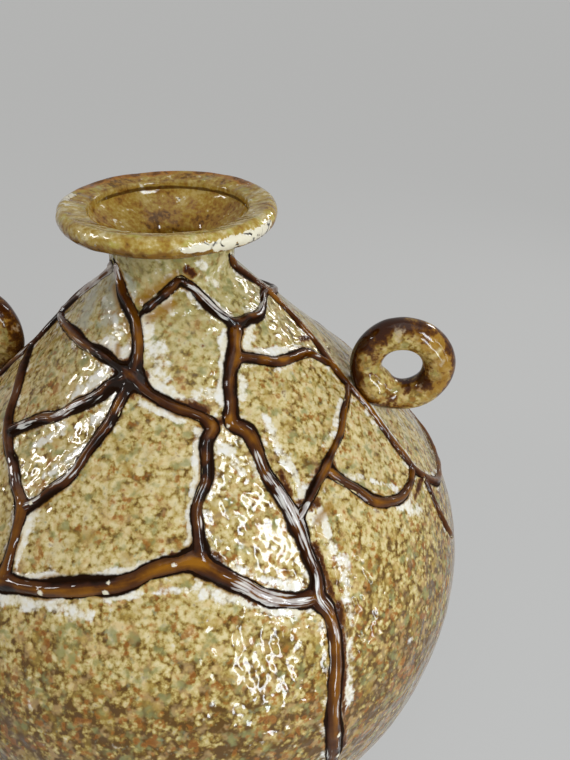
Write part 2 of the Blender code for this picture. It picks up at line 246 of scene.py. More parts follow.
# Each strip: its width's share, how thick its crease is on the left and on the right of
# the way it is laid, how maroon it is, and its places as (degrees, depth's share)
# A crease's dark is glaze pooled at the strip's foot and partly painted shade, thicker on the
# side away from the light
strips = {
    "strip_left_shoulder": (0.88, 0.5, 0.7, 0.2, [
        (-140, 0.120), (-152, 0.150), (-163, 0.190), (-171, 0.230), (-173, 0.265),
        (-171, 0.300), (-169, 0.330), (-168, 0.362), (-169, 0.413), (-169, 0.455),
        (-169, 0.510), (-170, 0.570), (-178, 0.630), (173, 0.690), (167, 0.780),
        (160, 0.920), (157, 1.060)]),
    "strip_back_right_long": (0.90, 0.8, 0.4, 0.2, [
        (78, 0.108), (75, 0.160), (69, 0.225), (62, 0.300), (58, 0.380), (55, 0.470),
        (49, 0.570), (39, 0.680), (27, 0.765), (22, 0.860), (23, 0.980), (25, 1.120)]),
    "strip_right_long": (0.90, 0.7, 0.1, 0.0, [
        (-14, 0.105), (0, 0.150), (8, 0.185), (12, 0.225), (11, 0.255), (6, 0.300),
        (2, 0.346), (-2, 0.380), (-4.5, 0.420), (-5.5, 0.450), (-6, 0.475),
        (-7.5, 0.506), (-8.5, 0.537), (-9, 0.573), (-9.5, 0.610), (-7, 0.660),
        (-4, 0.700), (6, 0.745), (27, 0.765)]),
    "strip_neck_arch": (0.80, 1.0, 0.3, 0.1, [
        (-96.5, 0.186), (-88, 0.167), (-77, 0.145), (-68, 0.126), (-62, 0.139),
        (-53, 0.170), (-46, 0.196), (-37, 0.222), (-27, 0.224), (-18, 0.228),
        (-8, 0.222), (2, 0.217), (12, 0.222)]),
    "strip_front_main": (1.08, 0.7, 0.8, 0.12, [
        (-38, 0.224), (-44, 0.248), (-47.5, 0.268), (-52, 0.287), (-54.5, 0.305),
        (-56, 0.330), (-58, 0.358), (-54, 0.377), (-53, 0.403), (-53, 0.434),
        (-51, 0.475), (-50, 0.517), (-50, 0.560), (-50, 0.605), (-51, 0.632),
        (-50, 0.660), (-50, 0.690), (-51, 0.740), (-53, 0.816), (-54, 0.980),
        (-55, 1.150), (-56, 1.300)]),
    "strip_lower_cross": (1.16, 0.5, 1.1, 0.1, [
        (-169, 0.565), (-152, 0.585), (-138, 0.610), (-124, 0.622), (-112, 0.604),
        (-105, 0.594), (-98, 0.579), (-93, 0.568), (-89, 0.562), (-85, 0.553),
        (-82, 0.542), (-77, 0.533), (-73, 0.532), (-70.5, 0.545), (-67, 0.563),
        (-64, 0.579), (-62, 0.594), (-59, 0.610), (-55, 0.624), (-51, 0.632)]),
    "strip_left_top": (0.84, 0.5, 0.9, 0.2, [
        (-171, 0.288), (-152, 0.268), (-139, 0.262), (-126, 0.262), (-118, 0.262),
        (-111, 0.264), (-105, 0.270), (-94, 0.284), (-88, 0.300), (-81, 0.315),
        (-76, 0.325), (-71, 0.333), (-67, 0.343), (-64.5, 0.358), (-67, 0.377),
        (-68, 0.403), (-69, 0.429), (-71, 0.449), (-72, 0.465), (-72, 0.490),
        (-72, 0.532)]),
    "strip_left_side": (0.94, 0.4, 0.8, 0.4, [
        (-168, 0.360), (-158, 0.367), (-150, 0.377), (-144, 0.393), (-139, 0.418),
        (-134, 0.434), (-129, 0.449), (-125, 0.460), (-120, 0.480), (-115, 0.502),
        (-113.5, 0.530), (-112.5, 0.560), (-112, 0.604)]),
    "strip_neck_left": (0.86, 1.1, 0.3, 0.2, [
        (-131, 0.110), (-127, 0.145), (-119, 0.165), (-108, 0.183), (-101, 0.198),
        (-96, 0.227), (-94, 0.258), (-94, 0.284)]),
    "strip_left_diagonal": (0.84, 0.3, 0.6, 0.3, [
        (-94, 0.284), (-97, 0.320), (-98.5, 0.350), (-101.5, 0.382), (-103.5, 0.410),
        (-106, 0.440), (-109, 0.461), (-112, 0.486), (-115, 0.502)]),
    "strip_left_fall": (1.00, 0.3, 1.1, 0.2, [
        (-94, 0.284), (-102, 0.300), (-108, 0.325), (-114, 0.346), (-118, 0.367),
        (-124, 0.384), (-129, 0.405), (-134, 0.434)]),
    "strip_right_cross": (0.88, 0.5, 0.8, 0.2, [
        (-48, 0.268), (-43, 0.274), (-35, 0.289), (-27, 0.305), (-19, 0.315),
        (-9, 0.330), (-2, 0.378)]),
    "strip_right_fall": (0.72, 0.7, 0.6, 0.1, [
        (-4.5, 0.420), (-10, 0.428), (-17, 0.434), (-24, 0.449), (-31, 0.462),
        (-36, 0.475), (-41, 0.486), (-45, 0.501), (-50, 0.519)]),
    "strip_right_hook": (0.92, 0.8, 0.5, 0.0, [
        (-36, 0.475), (-34, 0.500), (-31, 0.532), (-29, 0.563), (-26, 0.584),
        (-22, 0.603), (-17, 0.614), (-9.5, 0.610)]),
    "strip_right_tail": (0.60, 0.5, 0.5, 0.1, [
        (-8, 0.645), (-10, 0.690), (-11, 0.730), (-10.5, 0.790), (-8, 0.840)]),
    "strip_back_left_long": (0.90, 0.7, 0.5, 0.3, [
        (137, 0.108), (132, 0.160), (128, 0.220), (126, 0.300), (132, 0.380),
        (137, 0.460), (143, 0.530), (154, 0.585), (165, 0.640), (173, 0.690)]),
    "strip_back_right_top": (0.84, 0.6, 0.6, 0.2, [
        (12, 0.225), (25, 0.250), (43, 0.285), (62, 0.300)]),
    "strip_back_upper": (0.90, 0.5, 0.9, 0.2, [
        (62, 0.300), (71, 0.345), (82, 0.380), (98, 0.365), (112, 0.335),
        (126, 0.300)]),
    "strip_back_lower": (1.00, 0.4, 0.9, 0.1, [
        (49, 0.570), (57, 0.605), (65, 0.620), (74, 0.630), (86, 0.680), (98, 0.730),
        (113, 0.725)]),
    "strip_back_centre": (0.86, 0.7, 0.5, 0.4, [
        (82, 0.380), (77, 0.480), (74, 0.630)]),
    "strip_back_left_top": (0.82, 0.5, 0.7, 0.3, [
        (-171, 0.288), (176, 0.255), (160, 0.250), (144, 0.270), (126, 0.300)]),
    "strip_back_left_hook": (0.94, 0.6, 0.6, 0.3, [
        (143, 0.530), (130, 0.620), (117, 0.700), (111, 0.800), (108, 0.960),
        (106, 1.120)]),
}

# Where the clay was pressed wide: (degrees, depth's share, reach in mm, growth)
knots = [
    (-94, 0.284, 9, 1.00), (-72, 0.532, 8, 0.40), (-51, 0.632, 9, 0.35),
    (-53, 0.310, 15, -0.20), (-54, 0.900, 50, 0.32), (-61.5, 0.352, 5, 0.60),
    (41, 0.660, 24, -0.35), (-100, 0.600, 22, 0.12),
    (-38, 0.224, 6, 0.30), (-64.5, 0.358, 6, 0.30), (-48, 0.268, 5, 0.25),
    (-36, 0.475, 7, 0.35), (-50, 0.519, 6, 0.20), (-115, 0.502, 7, 0.30),
    (-112, 0.604, 8, 0.35), (-134, 0.434, 6, 0.25), (-4.5, 0.420, 5, 0.20)]

# Where the glaze pooled: bands between two places, with their half width in mm
pools = {
    "creamPool": [
        (-84, 0.234, -82, 0.283, 3.1), (-112, 0.247, -99, 0.265, 3.6),
        (-107, 0.184, -103, 0.199, 1.4), (-92, 0.198, -90, 0.220, 1.8),
        (-116, 0.326, -108, 0.295, 2.2), (-86, 0.293, -75, 0.312, 2.1),
        (-50, 0.238, -58, 0.327, 1.6), (-81, 0.165, -77, 0.187, 1.4),
        (-59, 0.148, -39, 0.214, 1.3), (-29, 0.235, -39, 0.266, 1.8),
        (-35, 0.274, -11, 0.318, 1.7), (-48, 0.304, -50, 0.328, 1.7),
        (-68, 0.312, -57, 0.316, 2.1), (-89, 0.321, -68, 0.365, 1.2),
        (-70, 0.378, -74, 0.511, 1.2), (-62, 0.387, -59, 0.431, 2.2),
        (-46, 0.367, -46, 0.430, 1.7), (-45, 0.432, -46, 0.495, 1.4),
        (-43, 0.514, -44, 0.576, 1.8), (-43, 0.605, -50.5, 0.840, 2.3),
        (-33, 0.445, -14, 0.423, 0.9), (-30, 0.507, -20, 0.590, 1.0),
        (-2, 0.580, -11, 0.598, 1.1), (-21, 0.622, -18, 0.660, 3.2),
        (-46, 0.517, -44, 0.540, 1.8), (-70, 0.543, -54, 0.603, 1.0),
        (-111, 0.628, -93, 0.606, 2.0), (-93, 0.558, -75, 0.525, 1.2),
        (-109, 0.590, -100, 0.569, 1.5), (-112, 0.553, -111, 0.506, 3.0),
        (-121, 0.421, -114, 0.386, 1.5), (-104, 0.354, -99, 0.315, 1.4),
        (-113, 0.452, -104, 0.391, 1.1), (-90, 0.581, -73, 0.568, 1.0),
        (-72, 0.578, -56, 0.640, 1.7), (0, 0.428, -8, 0.565, 1.1),
        (-134, 0.190, -106, 0.227, 1.5), (-51, 0.095, -45, 0.115, 1.8),
        (-50, 0.120, -36, 0.150, 1.4)],
    "brownPool": [
        (-99, 0.280, -91, 0.292, 3.6), (-96, 0.268, -94, 0.303, 2.9),
        (-41, 0.226, -35, 0.227, 2.0), (-63.5, 0.352, -59.5, 0.352, 1.2),
        (-75, 0.530, -69, 0.536, 2.0), (-38, 0.474, -34, 0.479, 2.0),
        (-47, 0.500, -43, 0.508, 1.7),
        (-75, 0.318, -66, 0.333, 1.7), (-49, 0.448, -49, 0.479, 1.2),
        (-48.0, 0.564, -48.4, 0.640, 1.4), (-47.8, 0.663, -49.6, 0.725, 1.8),
        (-49.6, 0.725, -51.4, 0.800, 1.7), (-51.4, 0.800, -52.2, 0.960, 1.4),
        (-88, 0.310, -83, 0.316, 0.9),
        (-16, 0.639, -9, 0.645, 1.1), (-62, 0.599, -59, 0.610, 0.7),
        # the band at -62 degrees under the lip is partly brown glaze and partly painted shade
        (-78, 0.521, -74, 0.527, 0.8), (-62, 0.104, -57, 0.116, 1.5),
        (-5, 0.310, 3, 0.327, 1.2), (-66, 0.581, -62, 0.608, 0.7)],
    "ashPool": [
        (-138, 0.150, -120, 0.205, 5.0), (-152, 0.200, -138, 0.240, 4.0),
        (-120, 0.135, -112, 0.160, 2.5)],
    "ochrePool": [
        (-131, 0.162, -112, 0.194, 1.3), (-106, 0.206, -96, 0.248, 1.1),
        (-99, 0.168, -72, 0.122, 2.0), (-91, 0.194, -76, 0.171, 1.6),
        (-106, 0.243, -103, 0.271, 0.9), (-40, 0.523, -45, 0.532, 1.1),
        (-50, 0.494, -49, 0.520, 0.7)],
}

# White beads on the strips: (degrees, depth's share, radius in mm)
beads = [
    (-108.4, 0.442, 0.9), (-106.1, 0.431, 0.8), (-112.2, 0.488, 0.9), (-102.6, 0.593, 1.2),
    (-90.3, 0.574, 1.3), (-89.8, 0.559, 0.8), (-53.4, 0.897, 1.1), (-53.6, 0.964, 1.1),
    (-59.6, 0.361, 0.8), (-60.6, 0.349, 0.7), (-47.5, 0.492, 0.8), (-48.3, 0.584, 0.7),
    (-120.7, 0.488, 0.9), (-88.8, 0.519, 0.8), (-77.4, 0.534, 0.9), (-49.1, 0.347, 0.7),
    (-119.9, 0.267, 0.7), (-68.1, 0.180, 0.6), (-39.3, 0.504, 0.8), (-71.2, 0.413, 0.8),
    (-45.9, 0.530, 0.9)]


def layStrip(places, spacing):
    # a smooth line through the places: cubic Hermite pieces with the places' own slopes.
    # Its side is square to its direction and to the wall's normal
    angles, drops = np.array(places, float).T
    angles = np.unwrap(np.radians(angles))
    heights = vase["height"] - drops * vase["bellyDrop"]
    at = runAlong(onVase(angles, heights, 0))
    wanted = np.linspace(0, at[-1], max(2, round(at[-1] / spacing)) + 1)
    k = np.clip(np.searchsorted(at, wanted, side="right") - 1, 0, len(at) - 2)
    span = at[k + 1] - at[k]
    t = (wanted - at[k]) / span
    route = []
    for values in (angles, heights):
        slopes = np.gradient(values, at)
        route.append((2 * t ** 3 - 3 * t ** 2 + 1) * values[k]
                     + (t ** 3 - 2 * t ** 2 + t) * span * slopes[k]
                     + (3 * t ** 2 - 2 * t ** 3) * values[k + 1]
                     + (t ** 3 - t ** 2) * span * slopes[k + 1])
    centre = onVase(*route, 0)
    along = unit(np.gradient(centre, axis=0))
    side = unit(np.cross(along, onVase(*route, 1) - centre))
    return {"centre": centre, "along": along, "side": side, "run": wanted}


def prepareStrip(index, name):
    # the strip's line with its half widths, crown and creases: each is its mean times
    # 1 plus a noise that wanders along it, and the knots widen or narrow it
    widthShare, creaseLeft, creaseRight, maroon, places = strips[name]
    line = layStrip(places, net["readSpacing"])
    centre = line["centre"]
    knot = np.ones(len(centre))
    for degrees, drop, reach, growth in knots:
        knot = knot + growth * (1 - ease(apartFrom(centre, placed(degrees, drop)), 0, reach))
    half = widthShare * net["width"] / 2 * knot
    for key, seed, smallSeed, creaseSeed, crease in (
            ("left", 11, 31, 17, creaseLeft), ("right", 61, 91, 41, creaseRight)):
        wander = (cloud(centre, net["edgeWave"], seed + index)
                  + 0.4 * cloud(centre, net["smallWave"], smallSeed + index))
        line[key] = half * (1 + net["edgeWander"] * wander)
        swing = cloud(centre, net["creaseWave"], creaseSeed + index)
        line[key + "Crease"] = crease * np.clip(
            net["creaseMean"] + net["creaseSwing"] * swing,
            net["creaseLeast"], net["creaseMost"])
    wander = cloud(centre, net["crownWave"], 5 + index)
    line["crown"] = net["height"] * (1 + net["crownWander"] * wander)
    line["maroon"] = maroon
    return line


def taperEnds(lines):
    # a strip thins towards an end as the square root of an eased run: slowly where the
    # end is free, only at the very end where it meets another strip
    for name, line in lines.items():
        others = np.vstack([o["centre"] for n, o in lines.items() if n != name])
        shares = np.ones(len(line["run"]))
        for end, run in ((0, line["run"]), (-1, line["run"][-1] - line["run"])):
            apart = np.linalg.norm(others - line["centre"][end], axis=1).min()
            length = net["butTaper"] if apart < net["joinReach"] else net["endTaper"]
            shares = shares * np.sqrt(ease(run, -0.1 * length, length))
        for key, least in (("left", 0.35), ("right", 0.35), ("crown", 0.1)):
            line[key] = line[key] * (least + (1 - least) * shares)


def sectionShare(u):
    # hump with a broad top that runs out softly: (1 - |u|^2.4)^1.6
    return (1 - np.clip(np.abs(u), 0, 1) ** 2.4) ** 1.6


def readNet(points, lines):
    # for every point: the gap to the nearest strip's foot, its crease on that side and
    # how maroon it is; then the height of each strip there, and of all of them together
    # as the fourth root of the sum of their fourth powers
    shape = (len(points), len(lines))
    gaps = np.full(shape, net["farAway"])
    rises, creases, maroons = np.zeros(shape), np.zeros(shape), np.zeros(shape)
    for j, line in enumerate(lines.values()):
        centre = line["centre"]
        low, high = centre.min(0) - net["readReach"], centre.max(0) + net["readReach"]
        inside = np.flatnonzero(np.all((points > low) & (points < high), axis=1))
        for part in np.array_split(inside, max(1, len(inside) // net["batch"])):
            spots = points[part]
            square = ((spots ** 2).sum(1)[:, None] + (centre ** 2).sum(1)[None]
                      - 2 * spots @ centre.T)
            k = square.argmin(1)
            offset = spots - centre[k]
            across = (offset * line["side"][k]).sum(1)
            beyond = np.abs((offset * line["along"][k]).sum(1)) - net["halfSpacing"]
            distance = np.hypot(across, np.clip(beyond, 0, None))
            width = np.where(across > 0, line["left"][k], line["right"][k])
            gaps[part, j] = distance - width
            rises[part, j] = line["crown"][k] * sectionShare(distance / width)
            leftShare = ease(across / width, -0.5, 0.5)
            creases[part, j] = (leftShare * line["leftCrease"][k]
                                + (1 - leftShare) * line["rightCrease"][k])
            maroons[part, j] = line["maroon"]
    nearest = gaps.argmin(1)[:, None]
    gap, crease, maroon = (np.take_along_axis(values, nearest, 1)[:, 0]
                           for values in (gaps, creases, maroons))
    return {"gap": gap, "crease": crease, "maroon": maroon, "rises": rises,
            "union": (rises ** 4).sum(1) ** 0.25}


def poolShare(points, key):
    # 1 up to a tenth of a band's half width, eased to 0 at 2.1 times of it
    share = np.zeros(len(points))
    for *ends, halfWidth in pools[key]:
        apart = nearBand(points, *ends)
        share = np.maximum(share, 1 - ease(apart, 0.1 * halfWidth, 2.1 * halfWidth))
    return share


lugs = {"radius": 0.0144, "tube": 0.0064, "standOff": 0.0205, "swell": 0.0016,
        "footShare": 0.4613, "ringSteps": 132, "tubeSteps": 64,
        "lump": (0.010, 0.00026), "smallLump": (0.0045, 0.000104)}


def lugCentre():
    # the right lug's centre, off the wall along its normal, and the angle to its foot
    height = vase["height"] - lugs["footShare"] * vase["bellyDrop"]
    foot = onVase(0.0, height, 0)
    normal = onVase(0.0, height, 1) - foot
    return foot + lugs["standOff"] * normal, math.atan2(-normal[2], -normal[0])


def lugGap(points):
    # distance from the nearer lug's coil: from its middle line, less the coil's radius
    centre, _ = lugCentre()
    x = np.abs(points[:, 0]) - centre[0]
    ring = np.hypot(x, points[:, 2] - centre[2]) - lugs["radius"]
    return np.hypot(ring, points[:, 1]) - lugs["tube"]


class Wire:                                   # one socket that can be reckoned with
    def __init__(self, paint, socket):
        self.paint = paint
        self.socket = socket

    def reckon(self, kind, first, second):    # one math node of two values
        return self.paint.node("ShaderNodeMath", {"operation": kind},
                               {0: first, 1: second})

    def __add__(self, other):
        return self.reckon("ADD", self, other)

    def __radd__(self, other):
        return self.reckon("ADD", other, self)

    def __sub__(self, other):
        return self.reckon("SUBTRACT", self, other)

    def __rsub__(self, other):
        return self.reckon("SUBTRACT", other, self)

    def __mul__(self, other):
        return self.reckon("MULTIPLY", self, other)

    def __rmul__(self, other):
        return self.reckon("MULTIPLY", other, self)

    def most(self, other):                    # the larger of the two
        return self.reckon("MAXIMUM", self, other)


class Paint:                                  # the nodes of a material or of the world
    def __init__(self, owner):
        owner.use_nodes = True
        self.owner = owner
        self.tree = owner.node_tree
        self.tree.nodes.clear()
        self.place = self.node("ShaderNodeTexCoord", {}, {}, "Object")

    def node(self, kind, settings, sockets, output=0):
        # any node: its settings, its inputs as values or wires, and one output's wire
        made = self.tree.nodes.new(kind)
        for key, value in settings.items():
            if key == "stops":
                ramp = made.color_ramp
                ramp.elements.remove(ramp.elements[1])
                ramp.elements[0].position, ramp.elements[0].color = value[0]
                for spot, tint in value[1:]:
                    ramp.elements.new(spot).color = tint
            else:
                setattr(made, key, value)
        for key, value in sockets.items():
            if isinstance(value, Wire):
                self.tree.links.new(value.socket, made.inputs[key])
            else:
                made.inputs[key].default_value = value
        return Wire(self, made.outputs[output])

    def vector(self, kind, first, second):    # vector math of two vectors
        return self.node("ShaderNodeVectorMath", {"operation": kind}, {0: first, 1: second})

    def scaled(self, vector, scale):          # a vector times a number
        return self.node("ShaderNodeVectorMath", {"operation": "SCALE"},
                         {0: vector, "Scale": scale})

    def moved(self, shift):                   # the place with its own shift on each axis
        return self.vector("ADD", self.place, (shift, shift * 0.7, -shift * 0.4))

    def noiseAt(self, spot, scale, detail, rough=0.5):
        # fractal noise round 0, about -0.3 to 0.3: octaves, each rough times the last
        return self.node("ShaderNodeTexNoise", {}, {
            "Vector": spot, "Scale": scale, "Detail": detail, "Roughness": rough}) - 0.5

    def noise(self, name):                    # the same, one of the table
        size, detail, shift = noises[name]
        return self.noiseAt(self.moved(shift), 1 / size, detail, 0.55)

    def cells(self, size, shift, bend, feature="F1"):
        # rounded cells, their lattice bent by a noise so that no two look alike
        spot = self.moved(shift)
        waves = self.node("ShaderNodeTexNoise", {}, {
            "Vector": spot, "Scale": 0.6 / size, "Detail": 1.0}, "Color")
        spot = self.vector("ADD", spot, self.scaled(waves, bend * 2))
        return self.node("ShaderNodeTexVoronoi", {"feature": feature},
                         {"Vector": spot, "Scale": 1 / size}, "Distance")

    def laneNoise(self, along, across, shift):
        # noise stretched along a strip, from the strip's own length and width
        lane = self.node("ShaderNodeCombineXYZ", {}, {
            0: self.attribute("run") * along, 1: self.attribute("side") * across,
            2: shift * 3.0})
        return self.noiseAt(lane, 1.0, 1.0)

    def ringNoise(self, size, stretch, shift=0.0):
        # noise round the vase's axis, stretched along the wall's outline
        around = self.vector("MULTIPLY", self.place, (1.0, 1.0, 0.0))
        around = self.node("ShaderNodeVectorMath", {"operation": "NORMALIZE"}, {0: around})
        down = self.node("ShaderNodeCombineXYZ", {}, {
            2: self.attribute("side") * (1 / stretch) + shift})
        spot = self.vector("ADD", self.scaled(around, collar["lipRadius"]), down)
        return self.noiseAt(spot, 1 / size, 2.0)

    def attribute(self, name):                # a value that the mesh holds at its points
        return self.node("ShaderNodeAttribute", {"attribute_name": name}, {}, "Fac")

    def height(self):                         # of the place, over the ground
        return self.node("ShaderNodeSeparateXYZ", {}, {0: self.place}, "Z")

    def step(self, value, low, high):         # 0 up to low, 1 from high on, eased between
        return self.node("ShaderNodeMapRange", {"interpolation_type": "SMOOTHSTEP"},
                         {0: value, 1: low, 2: high})

    def ramp(self, value, stops):
        # glazes at given values, mixed in proportion between them
        stops = [(spot, glaze[name]) for spot, name in stops.items()]
        return self.node("ShaderNodeValToRGB", {"stops": stops}, {0: value})

    def blend(self, share, first, second):    # first, with its share of second
        return self.node("ShaderNodeMix", {"data_type": "RGBA"},
                         {0: share, 6: first, 7: second}, 2)

    def cover(self, share, tint):             # a glaze or a colour over the ground
        tint = glaze[tint] if isinstance(tint, str) else tint
        self.ground = self.blend(share, self.ground, tint)

    def stain(self, value, low, high, share, tint):
        # covers by its share from where the value reaches high, and not under low
        self.cover(self.step(value, low, high) * share, tint)

    def gloss(self, base, swing):             # roughness: a base, more where the grain is up
        return base + self.step(self.grain, 0.0, 0.3) * swing

    def coat(self, bump, roughness, mirror):
        # the ground's colour as a glaze over the bump, with how strongly it mirrors
        return self.node("ShaderNodeBsdfPrincipled", {}, {
            "Base Color": self.ground, "Roughness": roughness, "Normal": bump,
            "IOR": 1.45, "Specular IOR Level": mirror})

    def finish(self, roughness, relief, dullShare=None, mirror=0.5):
        # relief is a height in millimetres; where dullShare is 1 hardly any light mirrors
        bump = self.node("ShaderNodeBump", {}, {"Height": relief, "Distance": 0.001,
                                                "Strength": 1.0})
        shader = self.coat(bump, roughness, mirror)
        if dullShare:
            shader = self.mixed(dullShare, shader, self.coat(bump, 0.6, 0.05))
        self.output(shader)
        return self.owner

    def mixed(self, share, first, second):    # two shaders by the second one's share
        return self.node("ShaderNodeMixShader", {}, {0: share, 1: first, 2: second})

    def output(self, shader, kind="ShaderNodeOutputMaterial"):
        # the shader is what the material or the world shows
        end = self.tree.nodes.new(kind)
        self.tree.links.new(shader.socket, end.inputs["Surface"])


def newPaint(name):                           # a new material's nodes
    return Paint(bpy.data.materials.new(name))


def linear(value):
    # a step of 0 to 255 as light: a straight line near black, else a power of 2.4
    value = value / 255
    return value / 12.92 if value <= 0.04045 else ((value + 0.055) / 1.055) ** 2.4


# Each glaze and clay as red, green and blue in 0 to 255 steps
glaze = {name: (*map(linear, steps), 1.0) for name, steps in {
    "dark": (92, 62, 18), "olive": (140, 110, 46), "khaki": (184, 160, 94),
    "pale": (214, 195, 146), "cream": (229, 217, 190), "white": (236, 230, 220),
    "lavender": (186, 174, 168), "ash": (178, 176, 160), "lime": (176, 168, 74),
    "gold": (168, 138, 62), "rust": (172, 104, 34), "moss": (136, 134, 82),
    "teal": (126, 132, 104), "tan": (204, 168, 112), "bark": (96, 62, 18),
    "tea": (148, 102, 32), "straw": (166, 132, 48), "wheat": (186, 158, 88),
    "sand": (204, 182, 126), "ochre": (150, 106, 24), "crease": (26, 10, 1),
    "brown": (60, 26, 3), "redBrown": (80, 41, 0), "deep": (116, 70, 14),
    "amber": (114, 66, 0), "honey": (142, 88, 4), "maroon": (78, 44, 24),
    "clay": (164, 130, 98), "darkClay": (120, 88, 62)}.items()}

# Noises: size in metres, octaves over the first, and the shift that sets each apart
noises = {
    "clouds": (0.026, 1.0, 0.31), "blotch": (0.0052, 2.0, 0.57),
    "grain": (0.0015, 2.0, 0.83), "tan": (0.0042, 2.0, 3.31), "gold": (0.0060, 2.0, 4.17),
    "moss": (0.0050, 2.0, 1.91), "teal": (0.0027, 2.0, 2.43), "rust": (0.012, 1.0, 1.73),
    "ripples": (0.0028, 0.0, 5.9), "waves": (0.0072, 0.0, 3.1),
    "cream": (0.0050, 2.0, 4.7), "halo": (0.011, 1.0, 21.3),
    "lipRuns": (0.0085, 2.0, 6.6), "lipBand": (0.0040, 3.0, 16.1),
    "lime": (0.0048, 2.0, 13.1), "throatRust": (0.0070, 2.0, 14.3),
    "crackGaps": (0.0034, 1.0, 15.7), "lugRuns": (0.0080, 2.0, 7.7),
    "lugGilt": (0.0050, 2.0, 17.9), "lugCream": (0.006, 2.0, 8.9),
    "stripGrain": (0.0017, 2.0, 0.83), "stripSlow": (0.014, 2.0, 9.3),
    "stripWaves": (0.0038, 0.0, 2.9), "claySpots": (0.0022, 3.0, 11.3),
    "claySpecks": (0.0015, 1.0, 12.7)}


def mottle(paint, warmth=0.0):
    # khaki ash glaze: pebbles of 2 mm with darker seams, blotches, clouds and a fine
    # grain set how light it is; tan, golden, mossy and rusty patches lie over that
    clouds = paint.noise("clouds")
    blotch = paint.blotch = paint.noise("blotch")
    grain = paint.grain = paint.noise("grain")
    pebble = paint.cells(0.0026, 0.11, 0.0016) + grain * 0.3
    # painted shade: low is 1 on the lower belly, and it darkens the glaze there, rust spots
    # included, as that part gets less light
    low = 1 - paint.step(paint.height(), 0.110, 0.182)
    light = (0.70 + clouds * 0.50 + blotch * 1.3 + grain * 2.1
             - (pebble - 0.45) * 1.05 - warmth - low * 0.72)
    paint.ground = paint.ramp(light, {0.06: "dark", 0.33: "olive", 0.56: "khaki",
                                      0.80: "sand", 1.00: "pale"})
    for edge, share, name in ((0.00, 0.50, "tan"), (0.03, 0.55, "gold"),
                              (0.04, 0.75, "moss"), (0.11, 0.60, "teal")):
        paint.stain(paint.noise(name), edge, edge + 0.17, share, name)
    spot = (paint.cells(0.0036, 1.37, 0.003) + grain * 0.9 + blotch * 0.4
            - paint.noise("rust") * 0.8 - low * 0.08)
    paint.cover((1 - paint.step(spot, 0.02, 0.36)) * 0.62, "rust")
    paint.cover((1 - paint.step(spot, -0.02, 0.12)) * 0.30, "redBrown")
    paint.relief = (paint.noise("ripples") * 0.42 + paint.noise("waves") * 1.05
                    - pebble * 0.03)


def wallPaint(name):
    # the mottle, mossier towards the neck
    paint = newPaint(name)
    mottle(paint)
    paint.stain(paint.height() + paint.blotch * 0.03, 0.205, 0.250, 0.40, "moss")
    return paint


def glazeRuns(paint):
    # what the glaze does beside the strips: dark crease, which is glaze pooled dark and
    # partly painted shade, ochre halo, cream pool. Each comes from the gap to the strip or
    # from a pool's share, made ragged by the noises
    blotch, grain = paint.blotch, paint.grain
    gap, crease = paint.attribute("stripGap"), paint.attribute("crease")
    ragged = gap + blotch * 1.1 + grain * 0.7
    creamNoise = paint.noise("cream")
    near = 1 - paint.step(gap + blotch * 5, 0.5, 3.4)
    cream = (paint.attribute("creamPool") * 0.82 + near * 0.44 + creamNoise * 1.8
             + blotch * 0.9 + grain * 0.8)
    creamShare = paint.step(cream, 0.36, 0.88)
    paint.cover(creamShare * 0.92, paint.blend(
        paint.step(creamNoise + grain, -0.15, 0.25), glaze["cream"], glaze["white"]))
    paint.stain(paint.attribute("ashPool") + blotch * 1.6 + grain, 0.25, 0.95, 0.60, "ash")
    halo = 1 - paint.step(ragged, crease * 0.4, crease + 0.6)
    halo = halo * (0.15 + paint.step(paint.noise("halo"), 0.0, 0.14))
    paint.cover((paint.attribute("ochrePool") * 0.9).most(halo * 0.75), "ochre")
    brown = paint.attribute("brownPool") * 0.88 + blotch * 1.1 + grain * 0.9
    paint.stain(brown, 0.22, 0.58, 1.0, "deep")
    brownShare = paint.step(brown, 0.44, 0.84)
    paint.cover(brownShare, "brown")
    # the dark crease at the strip's foot: pooled dark glaze, with painted shade where the
    # strip overhangs
    darkShare = 1 - paint.step(ragged, crease * 0.55 - 0.50, crease * 0.85 - 0.02)
    paint.cover(darkShare, "crease")
    smooth = (creamShare * 0.45).most(darkShare).most(brownShare)
    paint.relief = paint.relief * (1 - smooth * 0.7) + creamShare * 0.12
    return darkShare.most(brownShare * 0.7)


def bodyGlaze():
    # the wall's glaze outside, amber inside and bare clay under the base
    paint = wallPaint("body_glaze")
    darkShare = glazeRuns(paint)
    bare = paint.attribute("bare")
    paint.cover(paint.attribute("inner") * 0.8, "amber")
    paint.cover(bare, "clay")
    return paint.finish(paint.gloss(0.08 + bare * 0.6, 0.05), paint.relief, darkShare)


